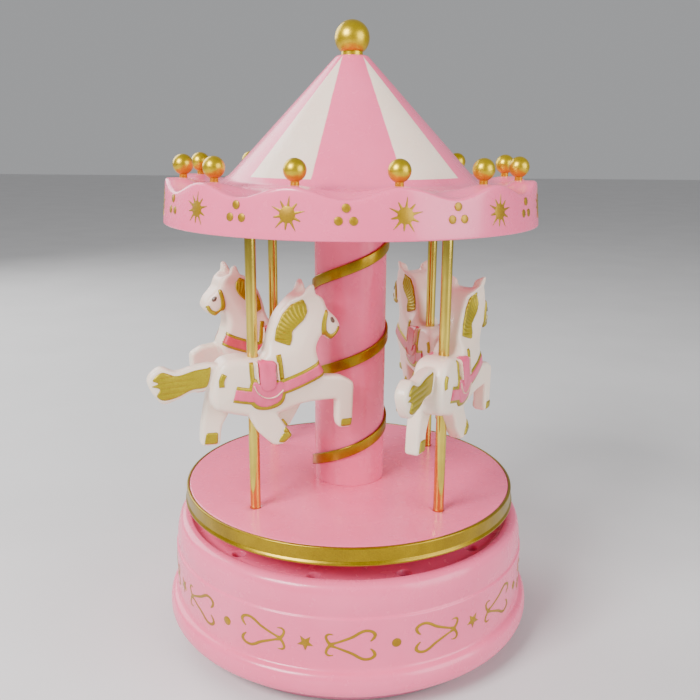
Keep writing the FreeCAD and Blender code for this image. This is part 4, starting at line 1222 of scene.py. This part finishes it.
def add_stroke(bm, points, widths, height, wall, steps=7):
    """A brush stroke along a smooth line. widths swell and taper along it."""
    line, breadths = [], []
    for place, index, share in open_curve(points, steps):
        line.append(place)
        breadths.append(widths[index] + (widths[index + 1] - widths[index]) * share)
    rings = []
    for index, (place, breadth) in enumerate(zip(line, breadths)):
        reach = across_line(line, index) * breadth / 2
        ring = []
        for side, out in ((-1, -0.15), (-1, 0.5 * height), (-0.6, height), (0.6, height), (1, 0.5 * height),
                          (1, -0.15)):
            ring.append(bm.verts.new(wall(*(place + reach * side), out)))
        rings.append(ring)
    for lower, upper in zip(rings, rings[1:]):
        for index in range(6):
            after = (index + 1) % 6
            bm.faces.new((lower[index], lower[after], upper[after], upper[index]))
    bm.faces.new(rings[0])
    bm.faces.new(rings[-1])


def star(points, outer, inner, turn):
    """A star's outline. turn is the angle of its first point, in degrees."""
    outline = []
    for index in range(2 * points):
        radius = outer if index % 2 == 0 else inner
        angle = math.radians(turn + 180 * index / points)
        outline.append(Vector((radius * math.cos(angle), radius * math.sin(angle))))
    return outline


def dot(radius, at=(0, 0), sides=20):
    angles = [2 * math.pi * side / sides for side in range(sides)]
    return [Vector(at) + radius * Vector((math.cos(angle), math.sin(angle))) for angle in angles]


# %% The base band's print: star, heart, dot and heart, seven times
print_height = 0.09
band_radius = 53.9
band_middle = base_low + 14.6


def on_band(angle):
    """A wall function for a motif at an angle from the front of the base band."""
    def wall(along, up, out):
        turn = about_front(angle) + along / band_radius
        radius = band_radius + out
        return (radius * math.cos(turn), radius * math.sin(turn), band_middle + up)
    return wall


heart_arm = [(-5.4, 0.1), (-3.7, 0.7), (-1.8, 1.45), (0.6, 2.5), (2.3, 3.6), (3.8, 4.2), (5.4, 4.0),
             (6.4, 3.1), (6.1, 2.0), (5.2, 1.1)]
heart_arm_widths = [1.1, 0.6, 0.7, 0.8, 0.85, 0.8, 0.8, 0.95, 0.8, 0.3]
heart_hook = [(-5.3, 0.1), (-6.1, 1.2), (-6.4, 2.4), (-5.7, 3.1), (-4.5, 3.0)]
heart_hook_widths = [1.0, 0.75, 0.7, 0.55, 0.2]
motif_count = 7


def band_print():
    bm = bmesh.new()
    add_plate(bm, star(5, 2.35, 1.05, -90), print_height, on_band(-10.7))
    add_plate(bm, dot(1.3), print_height, on_band(15.0))
    for heart_angle, facing in ((2.0, 1), (27.7, -1)):
        for flip in (1, -1):
            for line, widths in ((heart_arm, heart_arm_widths), (heart_hook, heart_hook_widths)):
                placed_line = [(x * facing, z * flip) for x, z in line]
                add_stroke(bm, placed_line, widths, print_height, on_band(heart_angle))
    return bm


base_print = show("base_band_print", band_print(), 60)
grow(base_print, ring_tree, {"Count": motif_count, "Start Angle": 0.0, "Material": foil_gold}, 60)
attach(base_print, "base")


# %% The skirt's print: a sun under each ball, three dots between
skirt_face = 12.0
skirt_middle = skirt_low + skirt_face / 2
skirt_middle_radius = 53.0


def on_skirt(angle):
    """A wall function for a motif at an angle from the front of the flared skirt."""
    def wall(along, up, out):
        z = skirt_middle + up
        lean = (skirt_foot_radius - skirt_top_radius) * (z - skirt_low) / skirt_face
        radius = skirt_foot_radius - lean + out
        turn = about_front(angle) + along / skirt_middle_radius
        return (radius * math.cos(turn), radius * math.sin(turn), z)
    return wall


def skirt_print():
    bm = bmesh.new()
    for at in ((0, 1.75), (-1.75, -1.2), (1.75, -1.2)):
        add_plate(bm, dot(1.05, at), print_height, on_skirt(0))
    add_plate(bm, dot(2.0, sides=28), print_height, on_skirt(15))
    rays = 10
    for index in range(rays):
        angle = 2 * math.pi * index / rays + 0.2
        reach = 4.3 if index % 2 == 0 else 3.6
        out = Vector((math.cos(angle), math.sin(angle)))
        line = [out * 1.6, out * 2.4, out * 3.2, out * reach]
        add_stroke(bm, line, [0.9, 0.62, 0.42, 0.12], print_height * 0.9, on_skirt(15), steps=2)
    return bm


canopy_print = show("skirt_print", skirt_print(), 60)
grow(canopy_print, ring_tree, {"Count": wave_count, "Start Angle": 0.0, "Material": foil_gold}, 60)
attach(canopy_print, "turntable")


# %% [markdown]
# ## Everything else keeps its shape
#
# The winding disc, the feet, the covers, the screws and the whole movement already have their true shapes
# in the working model. They keep them, and only take a better finish, chosen by the slot that each one
# names.

# %% Finishes for the working model's own parts
finishes = {
    # The deep pink slot takes the pink that is darkened as painted shade.
    "pink_plastic": pink_plastic, "deep_pink_plastic": deep_pink_plastic, "gold_paint": trim_gold,
    "polished_brass": pole_brass, "ivory_plastic": ivory_plastic, "rubber": black_rubber, "steel": steel,
    "zinc": cast_zinc, "movement_brass": movement_brass, "nylon": white_nylon}
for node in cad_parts.values():
    for slot in node.material_slots:
        slot.material = finishes[slot.material.name.split(".")[0]]
print("finishes given to", len(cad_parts), "nodes")


# %% [markdown]
# ## Floor, light and camera
#
# A pale floor and soft boxes of light, as in a small studio. The camera looks down a little from the front,
# at the distance of a hand-held close view, so near parts look clearly larger than far ones.

# %% Floor
bpy.ops.mesh.primitive_plane_add(size=6)
floor = bpy.context.active_object
floor.name = "studio_floor"
floor_finish = Finish("pale_floor", 0.6)
floor_tints = [(0.3, (0.66, 0.65, 0.65)), (0.7, (0.70, 0.69, 0.69))]
floor_finish.colour(floor_finish.ramp(floor_finish.cloud(60, 4), floor_tints))
floor.data.materials.append(floor_finish.material)


# %% Lights
def soft_box(name, place, aim, size, power):
    light = bpy.data.lights.new(name, "AREA")
    light.size = size
    light.energy = power
    box = bpy.data.objects.new(name, light)
    box.location = place
    box.rotation_euler = (Vector(aim) - Vector(place)).to_track_quat("-Z", "Y").to_euler()
    bpy.context.scene.collection.objects.link(box)


middle = (0, 0, 0.09)
soft_box("key", (-0.38, -0.42, 0.50), middle, 0.30, 8.0)
soft_box("fill", (0.55, -0.35, 0.28), middle, 0.5, 4.2)
soft_box("back", (-0.48, 0.42, 0.42), middle, 0.5, 3.6)
world = bpy.data.worlds.new("studio")
world.use_nodes = True
world.node_tree.nodes["Background"].inputs["Color"].default_value = (0.82, 0.83, 0.85, 1)
world.node_tree.nodes["Background"].inputs["Strength"].default_value = 0.45
bpy.context.scene.world = world

# %% Camera
camera_data = bpy.data.cameras.new("view")
camera_data.lens = 43.18
camera_data.sensor_width = 36
camera_data.clip_start = 0.01
camera = bpy.data.objects.new("view", camera_data)
camera_place = (0.0052, -0.2467, 0.1486)
heading, tilt, roll = math.radians(1.2), math.radians(90 - 14.26), math.radians(0.44)
turn = Matrix.Rotation(heading, 4, "Z") @ Matrix.Rotation(tilt, 4, "X") @ Matrix.Rotation(roll, 4, "Z")
camera.matrix_world = Matrix.Translation(camera_place) @ turn
bpy.context.scene.collection.objects.link(camera)
bpy.context.scene.camera = camera

# %% Update the scene
bpy.context.view_layer.update()
